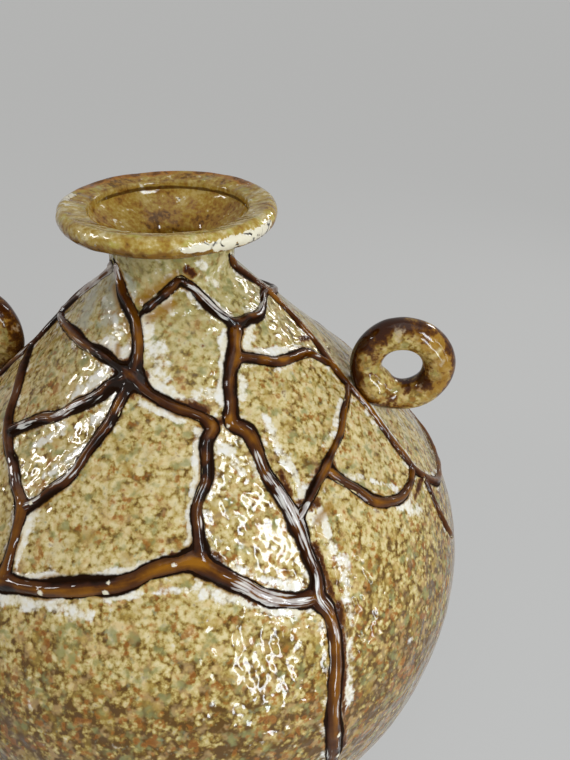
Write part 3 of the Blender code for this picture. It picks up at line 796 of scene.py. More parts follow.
def collarGlaze():
    # the wall's glaze on the neck; the lip, mouth and throat by their own shares
    paint = wallPaint("collar_glaze")
    blotch, grain = paint.blotch, paint.grain
    # soft patches and streaks that run down the neck, under the pools
    streaks = paint.ringNoise(0.0034, 2.4) + blotch * 0.7
    neckShare = paint.step(paint.height(), 0.232, 0.246)
    paint.cover(paint.step(streaks, 0.02, 0.24) * neckShare * 0.50, "sand")
    paint.cover(paint.step(0 - streaks, 0.04, 0.26) * neckShare * 0.45, "moss")
    darkShare = glazeRuns(paint)
    # the lip: thicker, more golden glaze, streaked outwards, with lime runs, and brown at its
    # lower edge from runs and from painted shade
    lip = paint.attribute("lip")
    runs = paint.noise("lipRuns") + grain * 0.3
    band = paint.noise("lipBand")
    outward = paint.ringNoise(0.0030, 3.0, 0.5)
    golden = (outward * (paint.attribute("face") * 0.35 + 0.2) + band * 1.2 + runs * 0.8
              + grain * 0.7 - paint.attribute("back") * 0.20 + 0.54)
    paint.cover(lip * 0.92, paint.ramp(golden, {
        0.05: "bark", 0.24: "tea", 0.46: "straw", 0.66: "wheat", 0.86: "pale"}))
    limeShare = paint.step(paint.noise("lime"), 0.04, 0.18) * lip
    paint.cover(limeShare * 0.50, "lime")
    # brown at the roll's lower edge is partly glaze runs and partly painted shade; on the
    # neck just under the lip it is painted shade
    hem = paint.attribute("hem") + band * 1.8 + outward * 0.8
    paint.stain(hem, 0.34, 0.74, 0.80, "deep")
    paint.stain(hem, 0.78, 1.05, 0.70, "brown")
    # mouth and throat: amber, darker further down as painted shade in the throat, with rusty
    # patches
    inner = paint.attribute("inner")
    deep = 1 - paint.step(paint.height(), 0.248, 0.259)
    funnel = blotch * 0.9 + grain * 0.9 + runs * 1.4 + outward * 0.4 + 0.56 - deep * 0.36
    funnel = paint.ramp(funnel, {0.06: "bark", 0.34: "tea", 0.62: "straw", 0.92: "wheat"})
    redShare = paint.step(paint.noise("throatRust"), 0.17, 0.27)
    paint.cover(inner, paint.blend(redShare * 0.5, funnel, glaze["rust"]))
    rusty = paint.attribute("rim") + blotch * 1.3 + runs
    paint.stain(rusty, 0.50, 0.95, 0.75, "rust")
    paint.stain(rusty, 0.80, 1.15, 0.80, "redBrown")
    # thick cream glaze on the lip, with a dark net of cracks in places
    crack = paint.cells(0.0044, 6.1, 0.003, "DISTANCE_TO_EDGE") + grain * 0.16
    thick = paint.attribute("crackle") + blotch * 2.3 + grain * 1.5
    creamShare = paint.step(thick, 0.46, 0.66)
    paint.cover(creamShare, "cream")
    line = (creamShare * (1 - paint.step(crack, 0.0, 0.12))
            * paint.step(paint.noise("crackGaps"), -0.04, 0.08))
    paint.cover(line, "crease")
    # painted shade: brown on the step under the mouth's edge, deepest at the back
    paint.stain(paint.attribute("groove") + blotch * 0.8, 0.40, 0.75, 0.8, "brown")
    return paint.finish(paint.gloss(0.08, 0.05),
                        paint.relief * (1 - inner * 0.6) - line * 0.2, darkShare, 0.38)


def lugGlaze():
    # a warmer mottle under ochre, then amber, red brown and brown as the stain deepens
    paint = newPaint("lug_glaze")
    mottle(paint, 0.18)
    paint.cover(0.25, "gold")
    runs = paint.noise("lugRuns") + paint.blotch * 0.6 + paint.grain * 0.6
    stain = paint.attribute("stain") + runs * 2.3
    gilt = paint.attribute("gilt") + paint.noise("lugGilt") * 3.0
    cream = paint.noise("lugCream") - runs * 0.5
    for value, low, high, share, name in (
            (gilt, 0.25, 0.85, 0.75, "ochre"), (stain, 0.00, 0.34, 0.85, "amber"),
            (stain, 0.20, 0.48, 0.85, "redBrown"), (stain, 0.44, 0.74, 1.0, "brown"),
            (cream, 0.14, 0.30, 0.35, "cream")):
        paint.stain(value, low, high, share, name)
    return paint.finish(paint.gloss(0.08, 0.05), paint.relief * 0.22, mirror=0.38)


def stripGlaze():
    # amber on the crown sinks through brown to near black in the creases, and that black is
    # partly painted shade; streaks run along the strip, from noise on its own length and
    # width
    paint = newPaint("strip_glaze")
    depth, crease = paint.attribute("stripGap") * -1, paint.attribute("crease")
    blotch = paint.noise("blotch")
    grain = paint.grain = paint.noise("stripGrain")
    slow = paint.noise("stripSlow")
    streak = paint.laneNoise(85.0, 1300.0, slow)
    channel = paint.laneNoise(46.0, 400.0, slow)
    into = (depth - crease * 1.75 + blotch * 1.6 + grain * 0.9) * 0.23 + 0.31
    into = (into + slow * 0.4 + channel * 0.75 + streak * 0.25
            + paint.attribute("tone") * 0.85)
    paint.ground = paint.ramp(into, {0.00: "crease", 0.22: "brown", 0.46: "redBrown",
                                     0.74: "amber", 1.00: "honey"})
    paint.stain(paint.attribute("maroon") + slow * 1.4 + channel * 1.2,
                0.40, 0.95, 0.75, "maroon")
    # cream laps over the foot where the crease is thin; milky white lies on some crowns,
    # partly pale glaze and partly a painted highlight
    lap = paint.step(depth + blotch * 2.4 + grain, 0.0, 0.60 - crease * 0.7)
    paint.cover((1 - lap) * paint.step(0.80 - crease, 0.0, 0.3), "pale")
    # painted highlight: the milky white is pulled to the crown line, where the front strips
    # mirror the light; on other strips it is pale glaze
    ridgeGlint = paint.node("ShaderNodeMath", {"operation": "ABSOLUTE"},
                       {0: paint.attribute("side") + channel * 0.0045})
    ridgeGlint = 1 - paint.step(ridgeGlint, 0.0001, 0.0013)
    cream = (paint.attribute("creamTop") * (0.62 + ridgeGlint * 0.55) + channel * 0.8
             + streak * 2.0)
    milkyAndGlintTint = paint.blend(paint.step(streak + blotch, -0.1, 0.2), glaze["lavender"],
                        glaze["white"])
    paint.stain(cream, 0.47, 0.72, 0.72, milkyAndGlintTint)
    paint.stain(paint.attribute("bead"), 0.30, 0.80, 1.0, "cream")
    dullShare = 1 - paint.step(depth + blotch - crease, -0.30, 0.90)
    relief = channel * 0.32 + streak * 0.10 + paint.noise("stripWaves") * 0.25
    return paint.finish(paint.gloss(0.05, 0.04), relief, dullShare, 0.36)


def footClay():
    # bare clay: level rings from the turning, blotches and dark specks
    paint = newPaint("foot_clay")
    rings = paint.noiseAt(paint.vector("MULTIPLY", paint.place, (0.2, 0.2, 3.0)), 900.0, 2.0)
    spots = paint.noise("claySpots")
    paint.ground = paint.blend(paint.step(rings + spots, -0.2, 0.25),
                               glaze["darkClay"], glaze["clay"])
    paint.stain(paint.noise("claySpecks"), 0.2, 0.28, 1.0, "crease")
    return paint.finish(0.78 + spots * 0.1, rings * 0.25 + spots * 0.2)


# On the strips: (degrees, depth's share, reach in mm, tone, cream). Tone is how far towards
# honey the amber goes there, less than 0 towards black; cream covers it with milky white, a
# painted highlight on the front strip and the crossing strip beside it, and pale glaze on the
# others.
tones = [
    (-135, 0.159, 2.5, -0.5, 0), (-114, 0.179, 3, -0.35, 0), (-104, 0.202, 3, -0.2, 0),
    (-96, 0.230, 3, 0.1, 0), (-96, 0.285, 8.0, -1.00, 0), (-93, 0.301, 4, -0.4, 0),
    (-103, 0.277, 3, -0.4, 0), (-148, 0.264, 6, 0.3, 0.4), (-136, 0.262, 5, 0.2, 0.2),
    (-126, 0.262, 4, 0.0, 0.1),
    (-115, 0.268, 3, -0.3, 0.45), (-108, 0.272, 3, -0.3, 0.3), (-86, 0.312, 4, -0.25, 0),
    (-78, 0.318, 4, -0.1, 0), (-71, 0.333, 3.5, -0.15, 0), (-66, 0.347, 3, -0.1, 0),
    (-96, 0.176, 3, -0.6, 0), (-87, 0.161, 3, -0.55, 0), (-78, 0.144, 3, 0, 0),
    (-65, 0.128, 2.5, -0.3, 0), (-58, 0.152, 3, -0.2, 0.6), (-50, 0.177, 3, -0.3, 0.6),
    (-45, 0.201, 3, -0.4, 0.5), (-40, 0.217, 3, -0.6, 0), (-32, 0.225, 3, -0.6, 0),
    (-16, 0.218, 3, -0.4, 0.5), (-6, 0.211, 3, -0.2, 0.6), (-1, 0.229, 2.5, 0.2, 0),
    (-39, 0.228, 3, -0.4, 0), (-43, 0.248, 3, 0.35, 0), (-51, 0.289, 3, -0.15, 0),
    (-55, 0.315, 3, -0.2, 0), (-59, 0.359, 3.5, 0.2, 0), (-57, 0.385, 3, -0.25, 0),
    (-54, 0.403, 3, -0.35, 0), (-53, 0.423, 3, -0.3, 0.5), (-51, 0.448, 3, -0.3, 0.75),
    (-50, 0.478, 4, -0.3, 0.95), (-49, 0.511, 4, -0.3, 1.0), (-48, 0.544, 4, -0.3, 0.95),
    (-48, 0.576, 4, -0.3, 0.8), (-49, 0.611, 4, -0.3, 0.6), (-50, 0.644, 4, -0.3, 0.5),
    (-51, 0.693, 4, -0.1, 0.45), (-51, 0.748, 4, -0.2, 0.35), (-52, 0.830, 4, -0.3, 0.45),
    (-53, 0.931, 6, -0.45, 0.35), (-54, 0.990, 8, -0.45, 0.3), (-35, 0.291, 3, 0.45, 0),
    (-25, 0.302, 3, 0.4, 0),
    (-5, 0.334, 4, -0.1, 0.45), (-27, 0.462, 3, -0.6, 0), (-33, 0.472, 3, -0.3, 0),
    (-46, 0.502, 2.5, -0.3, 0), (-34, 0.503, 3, -0.3, 0), (-33, 0.530, 3, 0.1, 0),
    (-28, 0.571, 3, 0.15, 0), (-15, 0.613, 3, -0.35, 0), (-110, 0.610, 4, -0.6, 0),
    (-104, 0.606, 4, -0.2, 0), (-88, 0.567, 5, 0.1, 0), (-76, 0.533, 4, -0.05, 0),
    (-71, 0.554, 4, -0.1, 0), (-68, 0.567, 3, -0.2, 0), (-65, 0.582, 3, -0.1, 0.85),
    (-62, 0.596, 3, -0.1, 0.9), (-60, 0.608, 3, -0.15, 0.85), (-56, 0.622, 3, -0.2, 0.7),
    (-54, 0.629, 3, -0.1, 0.5), (-62, 0.354, 4, 0.2, 0), (-67, 0.382, 3, -0.5, 0),
    (-68, 0.415, 3, -0.55, 0), (-70, 0.447, 3, -0.4, 0.4), (-71, 0.473, 3, -0.2, 0.4),
    (-71, 0.499, 3, -0.4, 0), (-72, 0.519, 3, -0.35, 0), (-94, 0.318, 3, -0.5, 0),
    (-97, 0.348, 3, -0.4, 0.1), (-100, 0.379, 3, -0.2, 0.1), (-105, 0.426, 3, -0.1, 0.6),
    (-108, 0.441, 3, -0.1, 0.6), (-112, 0.487, 3, -0.1, 0.6), (-101, 0.316, 3, -0.7, 0),
    (-107, 0.330, 3, -0.5, 0.55), (-111, 0.348, 3, -0.3, 0.65), (-117, 0.367, 3, -0.3, 0.7),
    (-122, 0.390, 3, -0.3, 0.55), (-128, 0.405, 3, -0.3, 0.6), (-132, 0.425, 3, -0.5, 0.2),
    (-127, 0.462, 4, -0.3, 0.1), (-121, 0.483, 4, -0.3, 0.2), (-115, 0.502, 4, 0, 0.35),
    (-114, 0.524, 4, -0.1, 0.35),
    (-140, 0.125, 5, 0.1, 1.1), (-149, 0.150, 6, 0.1, 1.1), (-158, 0.178, 6, 0.1, 1.0),
    (-166, 0.210, 5, 0.1, 0.7), (-172, 0.250, 6, -0.1, 0.25), (-171, 0.300, 7, -0.1, 0.3),
    (-168, 0.360, 8, -0.1, 0.25), (13, 0.205, 4, 0, 0.3), (0, 0.350, 5, 0.2, 0.2),
    (-5, 0.440, 5, 0.1, 0.3), (11, 0.240, 5, 0.35, 0), (4, 0.320, 6, 0.35, 0),
    (-3, 0.390, 6, 0.35, 0), (-7, 0.490, 6, 0.30, 0), (-9, 0.560, 6, 0.25, 0),
    (44, 0.620, 10, 0.5, 0.5), (36, 0.690, 10, 0.5, 0.5), (29, 0.745, 8, 0.5, 0.4)]


def spotTones(points):
    # the spots' tones added up, and the most cream of any (pale glaze, and painted highlight
    # on the front strips), each eased out from its place
    tone, creamTop = np.zeros(len(points)), np.zeros(len(points))
    for degrees, drop, reach, shade, cream in tones:
        apart = apartFrom(points, placed(degrees, drop))
        tone = tone + shade * (1 - ease(apart, 0.4 * reach, 1.2 * reach))
        creamTop = np.maximum(creamTop, cream * (1 - ease(apart, 0.7 * reach, 2.0 * reach)))
    return tone, creamTop


def makeStrips(lines, material):
    # each strip is a closed tube: rows of points across its line, raised over the wall by
    # the height of all strips there, and an underside that lies inside the wall
    count = net["across"]
    u = np.sin(np.linspace(-math.pi / 2, math.pi / 2, count) * net["bunching"])
    u = u / u[-1] * net["reach"]
    for index, (name, line) in enumerate(lines.items()):
        fine = layStrip(strips[name][-1], net["station"])
        left, right = (np.interp(fine["run"], line["run"], line[key])[:, None]
                       for key in ("left", "right"))
        across = np.where(u > 0, u * left, u * right)
        spots = fine["centre"][:, None] + fine["side"][:, None] * across[..., None]
        angle, height = np.arctan2(spots[..., 1], spots[..., 0]), spots[..., 2]
        ground = onVase(angle, height, 0).reshape(-1, 3)
        facts = readNet(ground, lines)
        union, own = facts["union"], facts["rises"][:, index]
        others = np.delete(facts["rises"], index, axis=1).max(1)
        bead = np.zeros(len(ground))
        for degrees, drop, radius in beads:
            apart = apartFrom(ground, placed(degrees, drop))
            bead = np.maximum(bead, np.sqrt(np.clip(1 - (apart / radius) ** 2, 0, 1)))
        # ripples run along the strip, from noise on its own length and width
        run = np.repeat(fine["run"], count)
        lane = np.stack([run / net["rippleLength"], across.ravel() / net["rippleWidth"],
                         np.full(len(ground), index * 3.7)], axis=1)
        lumps = (wave(ground, net["lump"], 8) + wave(ground, net["pit"], 9)
                 + wave(lane, net["ripple"], 10))
        waves = swell(ground)
        under = net["tuck"] * ease(others - own, 0.0, net["tuckRise"])
        lift = union - under + waves + lumps * (union > net["thin"])
        lift = lift + net["beadLift"] * bead * (union > net["beadFrom"])
        edge = np.tile(np.abs(u) > 1.0, len(left))
        lift = np.where(edge & (others <= 0), -net["sink"] * 0.6 + waves, lift)
        lift = np.where(edge & (others > 0), union - net["edgeLap"], lift)
        top = onVase(angle, height, lift.reshape(across.shape))
        inner = slice(count - 2, 0, -3)
        bottom = onVase(angle[:, inner], height[:, inner], -net["sink"])
        points = np.concatenate([top, bottom], axis=1)
        shape = points.shape[:2]
        tone, creamTop = spotTones(ground)
        crease = facts["crease"] * (1 - 0.8 * poolShare(ground, "brownPool"))
        values = {"stripGap": facts["gap"] * 1000, "bead": bead, "run": run + index * 0.37,
                  "side": across, "crease": crease, "maroon": facts["maroon"],
                  "tone": tone, "creamTop": creamTop}
        part = (slice(None), slice(0, count))
        values = {key: padded(held, shape, part, 0.5 if key == "crease" else 0.0)
                  for key, held in values.items()}
        poles = [points[0].mean(0), points[-1].mean(0)]
        addPiece(name + "_glazed", np.vstack([points.reshape(-1, 3), poles]),
                 [gridFaces(*shape), capFaces(*shape)[:, ::-1]], values, [name],
                 material)


# How thick the glaze lies: beside strips and lugs as (height, length), then in the pools
glazeDepth = {"strip": (0.0005, 0.0011), "lug": (0.0016, 0.0016),
              "creamPool": 0.00022, "brownPool": 0.0004}


def fillet(gap, height, length):
    # falls away from its height as exp(-gap / length)
    return height * np.exp(-np.clip(gap, 0, None) / length)


def glazedFacts(points, lines):
    # how far the glaze lifts the wall at each point, and what its shader reads there
    facts = readNet(points, lines)
    shares = {key: poolShare(points, key) for key in pools}
    lift = swell(points) + fillet(facts["gap"], *glazeDepth["strip"])
    for key in ("creamPool", "brownPool"):
        lift = lift + glazeDepth[key] * shares[key]
    lift = lift + fillet(lugGap(points), *glazeDepth["lug"])
    crease = facts["crease"] * (1 - 0.8 * shares["brownPool"])
    return lift, {"stripGap": facts["gap"] * 1000, "crease": crease, **shares}


def wholeTurn(count):                         # even angles once round
    return np.linspace(0, math.tau, count, endpoint=False)


def turned(profile, columns):                 # a profile's points at even angles
    return around(profile[:, :1], wholeTurn(columns), profile[:, 1:])


def alongOutline(outline, fine, coarse=None, limit=0.0):
    # points of a curve, fine over a height and coarse under it, spread to fit its length
    at = runAlong(outline)
    spots = [0.0]
    while spots[-1] < at[-1]:
        height = np.interp(spots[-1], at, outline[:, 1])
        spots.append(spots[-1] + (fine if height > limit else coarse))
    spots = np.array(spots) * at[-1] / spots[-1]
    return np.stack([np.interp(spots, at, values) for values in outline.T], 1)


body = {"columns": 480, "spacing": 0.0015, "lowSpacing": 0.0032, "lowUnder": 0.10,
        "insideSpacing": 0.010, "floorRadii": (0.012, 0.040, 0.066),
        "baseRadii": (0.0645, 0.045, 0.015), "tongueRise": 0.003, "tongueInner": 0.0008,
        "tongueTuck": 0.0010, "bendRise": (0.0005, 0.0003), "bendTuck": 0.0006}


def makeBody(lines, material):
    # the profile goes out over the floor, up inside, over the tongue under the collar,
    # down the outside and in under the base; only the outside is lifted by its glaze
    v, b = vase, body
    seam = v["height"] - v["seamDrop"] - v["seat"]
    outside = vaseOutline[vaseOutline[:, 1] < seam]
    outside = alongOutline(np.vstack([[radiusAt(seam), seam], outside]),
                           b["spacing"], b["lowSpacing"], b["lowUnder"])
    base = v["footHeight"] + v["seat"]
    floor = base + v["floor"]
    thin = vaseOutline - v["wall"] * vaseNormals
    thin = thin[(thin[:, 1] < seam) & (thin[:, 1] > floor)]
    inside = alongOutline(thin, b["insideSpacing"])[::-1]
    inside[0, 1] = floor
    tip, bend = seam + b["tongueRise"], b["bendRise"]
    tongue = [[radiusAt(tip) - v["wall"] + b["tongueInner"], tip],
              [radiusAt(tip) - b["tongueTuck"], tip],
              [radiusAt(seam + bend[0]) - b["bendTuck"], seam + bend[1]]]
    profile = np.vstack([[[radius, floor] for radius in b["floorRadii"]], inside, tongue,
                         outside, [[radius, base] for radius in b["baseRadii"]]])
    shape = (len(profile), b["columns"])
    first = len(b["floorRadii"]) + len(inside) + len(tongue)
    last = first + len(outside)
    part = slice(first, last)
    points = turned(profile, b["columns"])
    lift, shares = glazedFacts(points[part].reshape(-1, 3), lines)
    lift = lift.reshape(-1, b["columns"])
    lift[-1] = 0
    points[part] += lift[..., None] * turned(sideNormals(outside), b["columns"])
    shares = {key: padded(held, shape, part, net["farGap"] if key == "stripGap" else 0.0)
              for key, held in shares.items()}
    row = np.repeat(np.arange(len(profile)), b["columns"])
    shares["inner"] = np.concatenate([row < first - len(tongue), [1, 0]])
    shares["bare"] = np.concatenate([row >= last, [0, 1]])
    addPiece("vessel_body_glazed",
             np.vstack([points.reshape(-1, 3), [[0, 0, floor], [0, 0, base]]]),
             [gridFaces(*shape)[:, ::-1], capFaces(*shape)], shares, ["vessel_body"],
             material)


# Rows are counted up from the roll's first one, or from the foot of the mouth's edge
collar = {
    "lipRadius": 0.0390, "lipThickness": 0.0076, "lipEdge": 0.0034, "mouthRadius": 0.0284,
    "mouthDrop": 0.0029, "mouthStep": 0.0014, "throatRadius": 0.0168,
    "throatDrop": 0.0185, "throatHold": 0.0062, "lap": 0.0022, "sink": 0.0006,
    "sinkEnd": 0.0004, "spacing": 0.0007, "insideSpacing": 0.0015, "columns": 320,
    "rollFrom": 15, "rollSteps": 40, "neckSteps": 26, "edgeSteps": 7, "faceSteps": 12,
    "throatSteps": 30, "wobble": (0.017, 0.00042), "ripple": (0.0055, 0.00018),
    "glazedRows": 8, "stillRows": 12, "lipRows": (-12, -2), "hemRow": 4,
    "hemRows": (5, 20), "faceRows": (26, 38), "innerRows": 8, "mouthShadeRow": 7.5,
    "mouthShadeRows": (0.3, 1.6), "rimReach": (0.0086, 0.0040), "underLipShade": (0.0150, 0.0090),
    "backFrom": 20,
}
# on the lip: from and to in degrees, radius, height, reach in mm
crackledPatch = [(-50, -14, 0.0394, 0.2656, 3.1), (-67, -54, 0.0388, 0.2662, 1.3),
                 (-178, -168, 0.0360, 0.2700, 2.6)]


def makeCollar(lines, material):
    # the profile goes up the outside, round the lip, over the mouth and down the throat;
    # its points are lifted along its normals, and each share is eased over some rows
    v, c = vase, collar
    top = v["height"]
    seam, waist = top - v["seamDrop"], top - v["waistDrop"]
    hem = seam - c["lap"]
    outside = vaseOutline[vaseOutline[:, 1] > hem][::-1]
    outside = alongOutline(np.vstack([[radiusAt(hem), hem], outside]), c["spacing"])
    angles = np.linspace(math.radians(c["rollFrom"]), math.pi, c["rollSteps"])
    half = c["lipThickness"] / 2
    roll = np.stack([c["lipRadius"] - c["lipEdge"] + c["lipEdge"] * np.sin(angles),
                     top - half - half * np.cos(angles)], 1)
    neck = bezier([v["neckRadius"], waist], [v["neckRadius"], waist + v["neckHold"]],
                  [c["lipRadius"] - 2 * c["lipEdge"], top - c["lipThickness"]], roll[0],
                  c["neckSteps"])
    step = c["mouthStep"]
    turn = np.linspace(0, math.pi / 2, c["edgeSteps"])
    mouth = np.stack([c["mouthRadius"] + step - step * np.sin(turn),
                      top - c["mouthDrop"] + step * np.cos(turn)], 1)
    face = np.linspace(roll[-1], mouth[0], c["faceSteps"])
    throatEnd = top - c["throatDrop"]
    throat = bezier(mouth[-1] - [0, step], [c["mouthRadius"], top - c["throatDrop"] / 2],
                    [c["throatRadius"], throatEnd + c["throatHold"]],
                    [c["throatRadius"], throatEnd], c["throatSteps"])
    thin = vaseOutline - v["wall"] * vaseNormals
    thin = thin[(thin[:, 1] < throatEnd - c["throatHold"]) & (thin[:, 1] > seam)]
    thin = alongOutline(thin, c["insideSpacing"])
    profile = np.vstack([outside, neck[1:], roll[1:], face[1:-1], mouth, throat, thin])
    flat = turned(profile, c["columns"]).reshape(-1, 3)
    outward = turned(sideNormals(profile[::-1])[::-1], c["columns"]).reshape(-1, 3)
    row = np.repeat(np.arange(len(profile)), c["columns"])
    rollRow = row - (len(outside) + len(neck))
    mouthRow = rollRow - (len(roll) + len(face) - 4)
    high, outer = row >= len(outside), row < len(outside) + c["glazedRows"]
    inside = row >= len(profile) - len(thin) - c["stillRows"]
    lift, shares = glazedFacts(flat, lines)
    wobble = wave(flat, c["wobble"], 21) + wave(flat, c["ripple"], 22)
    lift = np.where(inside, 0, np.where(high, wobble, lift))
    # its foot lies under the body's glaze and comes up to it just at the seam
    up = ease(flat[:, 2], hem, seam - c["sinkEnd"])
    lift = lift - c["sink"] * (1 - up) * outer
    flat = flat + lift[:, None] * outward
    radius = np.hypot(flat[:, 0], flat[:, 1])
    angle = np.degrees(np.arctan2(flat[:, 1], flat[:, 0]))
    back = ease(np.sin(np.radians(angle - c["backFrom"])), -0.1, 0.6)
    rimBand = ease(radius, *(c["lipRadius"] - reach for reach in c["rimReach"]))
    # the roll's lower edge, partly painted shade, and the neck under it, painted shade under
    # the lip; the step under the mouth's edge
    lowEdge = 1 - ease(np.abs(rollRow - c["hemRow"]), *c["hemRows"])
    underLipShade = ease(flat[:, 2], *(top - drop for drop in c["underLipShade"])) * (rollRow < 0)
    # painted shade on the step under the mouth's edge, deepest at the back
    underEdgeShade = 1 - ease(np.abs(mouthRow - c["mouthShadeRow"]), *c["mouthShadeRows"])
    crackle = np.zeros(len(flat))
    for low, farther, reach, height, size in crackledPatch:
        apart = apartFrom(flat, around(
            reach, np.radians(np.clip(angle, low, farther)), height))
        crackle = np.maximum(crackle, 1 - ease(apart, 0.3 * size, 1.3 * size))
    for key in pools:
        shares[key] = np.where(rollRow >= 0, 0.0, shares[key])
    shares["stripGap"] = np.where(high & ~outer, net["farGap"], shares["stripGap"])
    inner = ease(mouthRow, 0, c["innerRows"])
    shares.update({
        "inner": inner, "lip": ease(rollRow, *c["lipRows"]) * (1 - inner),
        "rim": np.where(rollRow > 0, rimBand * 0.95 * back, 0.0),
        "back": back * (rollRow > 0), "face": ease(rollRow, *c["faceRows"]),
        "side": np.repeat(runAlong(profile), c["columns"]),
        "hem": np.maximum(lowEdge * 0.80, underLipShade * 0.55), "crackle": crackle,
        "groove": underEdgeShade * (0.25 + 0.75 * ease(np.sin(np.radians(angle)), -0.1, 0.5))})
    addPiece("neck_collar_glazed", flat,
             [gridFaces(len(profile), c["columns"], closedRows=True)], shares,
             ["neck_collar"], material)


def makeLugs(material):
    # a ring of coil, its radius swollen at the foot by the eighth power of the cosine;
    # the left one is the right one mirrored
    centre, toFoot = lugCentre()
    a, b = wholeTurn(lugs["ringSteps"])[:, None], wholeTurn(lugs["tubeSteps"])[None]
    foot = np.clip(np.cos(a - toFoot), 0, None) ** 8
    core = np.stack([lugs["radius"] * np.cos(a), 0 * a, lugs["radius"] * np.sin(a)], -1)
    out = np.stack([np.cos(b) * np.cos(a), np.sin(b) + 0 * a, np.cos(b) * np.sin(a)], -1)
    # stained dark by the wall, low in the hole, outside and high on the neck's side
    outer = np.cos(b) + 0 * a
    stain = np.max([
        0.95 * ease(outer, -0.2, 0.9) * ease(np.cos(a - toFoot), 0.1, 0.9),
        0.85 * ease(-outer, 0.2, 1.0) * ease(np.cos(a + 0.7), 0.2, 1.0),
        0.45 * ease(outer, 0.45, 1.0),
        1.05 * ease(outer, 0.0, 0.9) * ease(np.cos(a - math.radians(145)), 0.2, 0.9)], 0)
    gilt = ease(outer, -0.6, 0.4) * ease(np.cos(a - math.radians(25)), 0.2, 0.85)
    quads = gridFaces(lugs["ringSteps"], lugs["tubeSteps"], closedRows=True)
    for name, side, lighter in (("ring_lug_right", 1, 0.10), ("ring_lug_left", -1, 0.50)):
        rough = ((core + out * lugs["tube"] + centre) * [side, 1, 1]).reshape(-1, 3)
        lump = wave(rough, lugs["lump"], 25) + wave(rough, lugs["smallLump"], 26)
        tube = lugs["tube"] + lugs["swell"] * foot + lump.reshape(outer.shape)
        points = (core + out * tube[..., None] + centre) * [side, 1, 1]
        addPiece(name + "_glazed", points.reshape(-1, 3), [quads[:, ::side]],
                 {"stain": stain.ravel() - lighter, "gilt": gilt.ravel()}, [name],
                 material)


foot = {"radius": 0.062, "width": 0.010, "bevel": 0.0012, "taper": 0.0015, "lap": 0.0004,
        "columns": 288, "bevelSteps": 6, "sideSteps": (8, 5, 8), "seatSteps": 6,
        "wear": (0.006, 0.0001), "wearFrom": 0.0014, "wearTo": 0.0078}


def makeFoot(material):
    # quarter rounds at both lower edges, straight sides and top; worn uneven by noise,
    # but flat where it rests and where it meets the body
    f = foot
    inner, bevel = f["radius"] - f["width"], f["bevel"]
    turn = np.linspace(0, math.pi / 2, f["bevelSteps"])
    outerEdge = np.stack([f["radius"] - bevel + bevel * np.sin(turn),
                          bevel - bevel * np.cos(turn)], 1)
    innerEdge = np.stack([inner + bevel - bevel * np.sin(turn)[::-1],
                          bevel - bevel * np.cos(turn)[::-1]], 1)
    top = vase["footHeight"] + f["lap"]
    corners = [outerEdge[-1], [f["radius"] - f["taper"], top],
               [inner + f["taper"], top], innerEdge[0]]
    sides = [np.linspace(start, end, count)[1:]
             for start, end, count in zip(corners, corners[1:], f["sideSteps"])]
    profile = np.vstack([outerEdge, *sides, innerEdge[1:],
                         np.linspace(innerEdge[-1], outerEdge[0], f["seatSteps"])[1:-1]])
    normals = sideNormals(np.vstack([profile, profile[:1]])[::-1])[::-1][:-1]
    flat = turned(profile, f["columns"]).reshape(-1, 3)
    wear = wave(flat, f["wear"], 27)
    wear = np.where((flat[:, 2] > f["wearFrom"]) & (flat[:, 2] < f["wearTo"]), wear, 0)
    flat = flat + wear[:, None] * turned(normals, f["columns"]).reshape(-1, 3)
    addPiece("foot_ring_clay", flat,
             [gridFaces(len(profile), f["columns"], closedRows=True)], {}, ["foot_ring"],
             material)


studio = {"floorRadius": 60.0, "floorPoints": 96, "floorDrop": 0.0002, "pale": 0.34,
          "world": 0.19, "room": (0.92, 0.96, 1.0, 1), "shownShare": 0.66,
          "shown": (0.64, 0.64, 0.63, 1), "sky": (0.44, 0.44, 0.435, 1)}
lamps = {
    "windowHigh": {"at": (0.42, -0.37, 0.52), "to": (0.03, -0.05, 0.18),
                   "size": (0.090, 0.28), "power": 1.95, "tint": (0.85, 0.93, 1.0)},
    "windowLow": {"at": (0.38, -0.57, 0.20), "to": (0.05, -0.09, 0.15),
                  "size": (0.068, 0.36), "power": 1.65, "tint": (0.85, 0.93, 1.0)},
    "sideWindow": {"at": (0.56, -0.24, 0.27), "to": (0.0, -0.03, 0.15),
                   "size": (0.018, 0.36), "power": 0.45, "tint": (0.85, 0.93, 1.0)},
    "left": {"at": (-0.52, -0.19, 0.53), "to": (-0.03, -0.04, 0.21), "size": (0.060, 0.20),
             "power": 1.00, "tint": (1.0, 1.0, 1.0)},
    "back": {"at": (0.50, 0.60, 0.52), "to": (0.0, 0.0, 0.20), "size": (0.10, 0.24),
             "power": 1.20, "tint": (1.0, 1.0, 1.0)},
    "overhead": {"at": (0.10, -0.10, 1.30), "to": (0.0, 0.0, 0.15), "size": (1.0, 1.0),
                 "power": 2.2, "tint": (1.0, 1.0, 1.0)},
}


def seenShare(paint):
    # 1 for what the camera sees, itself or mirrored or through something; else 0
    seen = paint.node("ShaderNodeLightPath", {}, {}, "Is Camera Ray")
    for kind in ("Is Glossy Ray", "Is Transmission Ray"):
        seen = seen.most(paint.node("ShaderNodeLightPath", {}, {}, kind))
    return seen


def floorMaterial():
    # a pale floor that keeps a soft shadow: part of what the camera sees is plain light
    paint = newPaint("studio_floor")
    grey = studio["pale"]
    lit = paint.node("ShaderNodeBsdfPrincipled", {}, {
        "Base Color": (grey, grey, grey * 0.99, 1), "Roughness": 0.9})
    plain = paint.node("ShaderNodeEmission", {}, {"Color": studio["shown"], "Strength": 1.0})
    paint.output(paint.mixed(seenShare(paint) * studio["shownShare"], lit, plain))
    return paint.owner


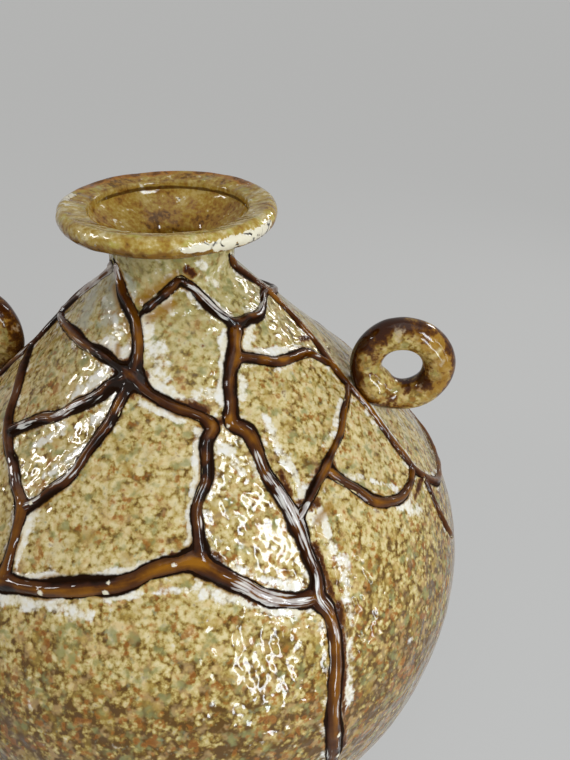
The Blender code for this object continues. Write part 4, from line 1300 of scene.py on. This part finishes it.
def makeWorld():
    # even room light; a pale sky where the camera or a reflection meets it
    paint = Paint(bpy.data.worlds.new("studio"))
    room, sky = (paint.node("ShaderNodeBackground", {}, {"Color": tint, "Strength": power})
                 for tint, power in ((studio["room"], studio["world"]), (studio["sky"], 1.0)))
    paint.output(paint.mixed(seenShare(paint), room, sky), "ShaderNodeOutputWorld")
    return paint.owner


def facing(at, forward, up):
    # matrix of something at a place that looks along forward, its top towards up
    forward = forward / np.linalg.norm(forward)
    right = np.cross(forward, up)
    right /= np.linalg.norm(right)
    up = np.cross(right, forward)
    rows = np.stack([right, up, -forward, at], axis=1)
    return Matrix([list(row) for row in np.vstack([rows, [0, 0, 0, 1]])])


def makeStudio():
    # a round floor just under the foot, the world and an area lamp for each entry
    count = studio["floorPoints"]
    points = around(studio["floorRadius"], wholeTurn(count), -studio["floorDrop"])
    mesh = bpy.data.meshes.new("floor")
    mesh.from_pydata(points.tolist(), [], [list(range(count))])
    mesh.materials.append(floorMaterial())
    newObject("floor", mesh)
    bpy.context.scene.world = makeWorld()
    for name, lamp in lamps.items():
        data = bpy.data.lights.new(name, "AREA")
        data.shape = "RECTANGLE"
        data.size, data.size_y = lamp["size"]
        data.energy = lamp["power"]
        data.color = lamp["tint"]
        at, to = np.array(lamp["at"]), np.array(lamp["to"])
        newObject(name, data).matrix_world = facing(at, to - at, np.array([0, 0, 1.0]))


camera = {"at": (0.06435391, -0.20143659, 0.3367019), "pitch": -34.76, "heading": 95.8,
          "roll": 1.94, "focal": 583.7, "image": (570, 760), "sensor": 36.0,
          "clipStart": 0.01}


def makeCamera():
    # forward from pitch and heading, up turned round it by the roll; the lens is the
    # focal length in pixels over the longer side, times the sensor
    pitch, heading, roll = (math.radians(camera[key]) for key in ("pitch", "heading", "roll"))
    forward = np.array([math.cos(pitch) * math.cos(heading),
                        math.cos(pitch) * math.sin(heading), math.sin(pitch)])
    right = np.array([math.sin(heading), -math.cos(heading), 0])
    up = np.cross(right, forward)
    tilted = -math.sin(roll) * right + math.cos(roll) * up
    data = bpy.data.cameras.new("camera")
    data.sensor_width = camera["sensor"]
    data.lens = camera["focal"] / max(camera["image"]) * camera["sensor"]
    data.clip_start = camera["clipStart"]
    holder = newObject("camera", data)
    holder.matrix_world = facing(np.array(camera["at"]), forward, tilted)
    bpy.context.scene.camera = holder


makeCamera()
makeStudio()
bpy.context.scene.view_settings.view_transform = "Standard"
print("camera, lamps and floor are up")
lines = {name: prepareStrip(index, name) for index, name in enumerate(strips)}
taperEnds(lines)
makeStrips(lines, stripGlaze())
print("strips are laid")
makeBody(lines, bodyGlaze())
print("body is turned")
makeCollar(lines, collarGlaze())
makeLugs(lugGlaze())
makeFoot(footClay())
print("collar, lugs and foot are made")
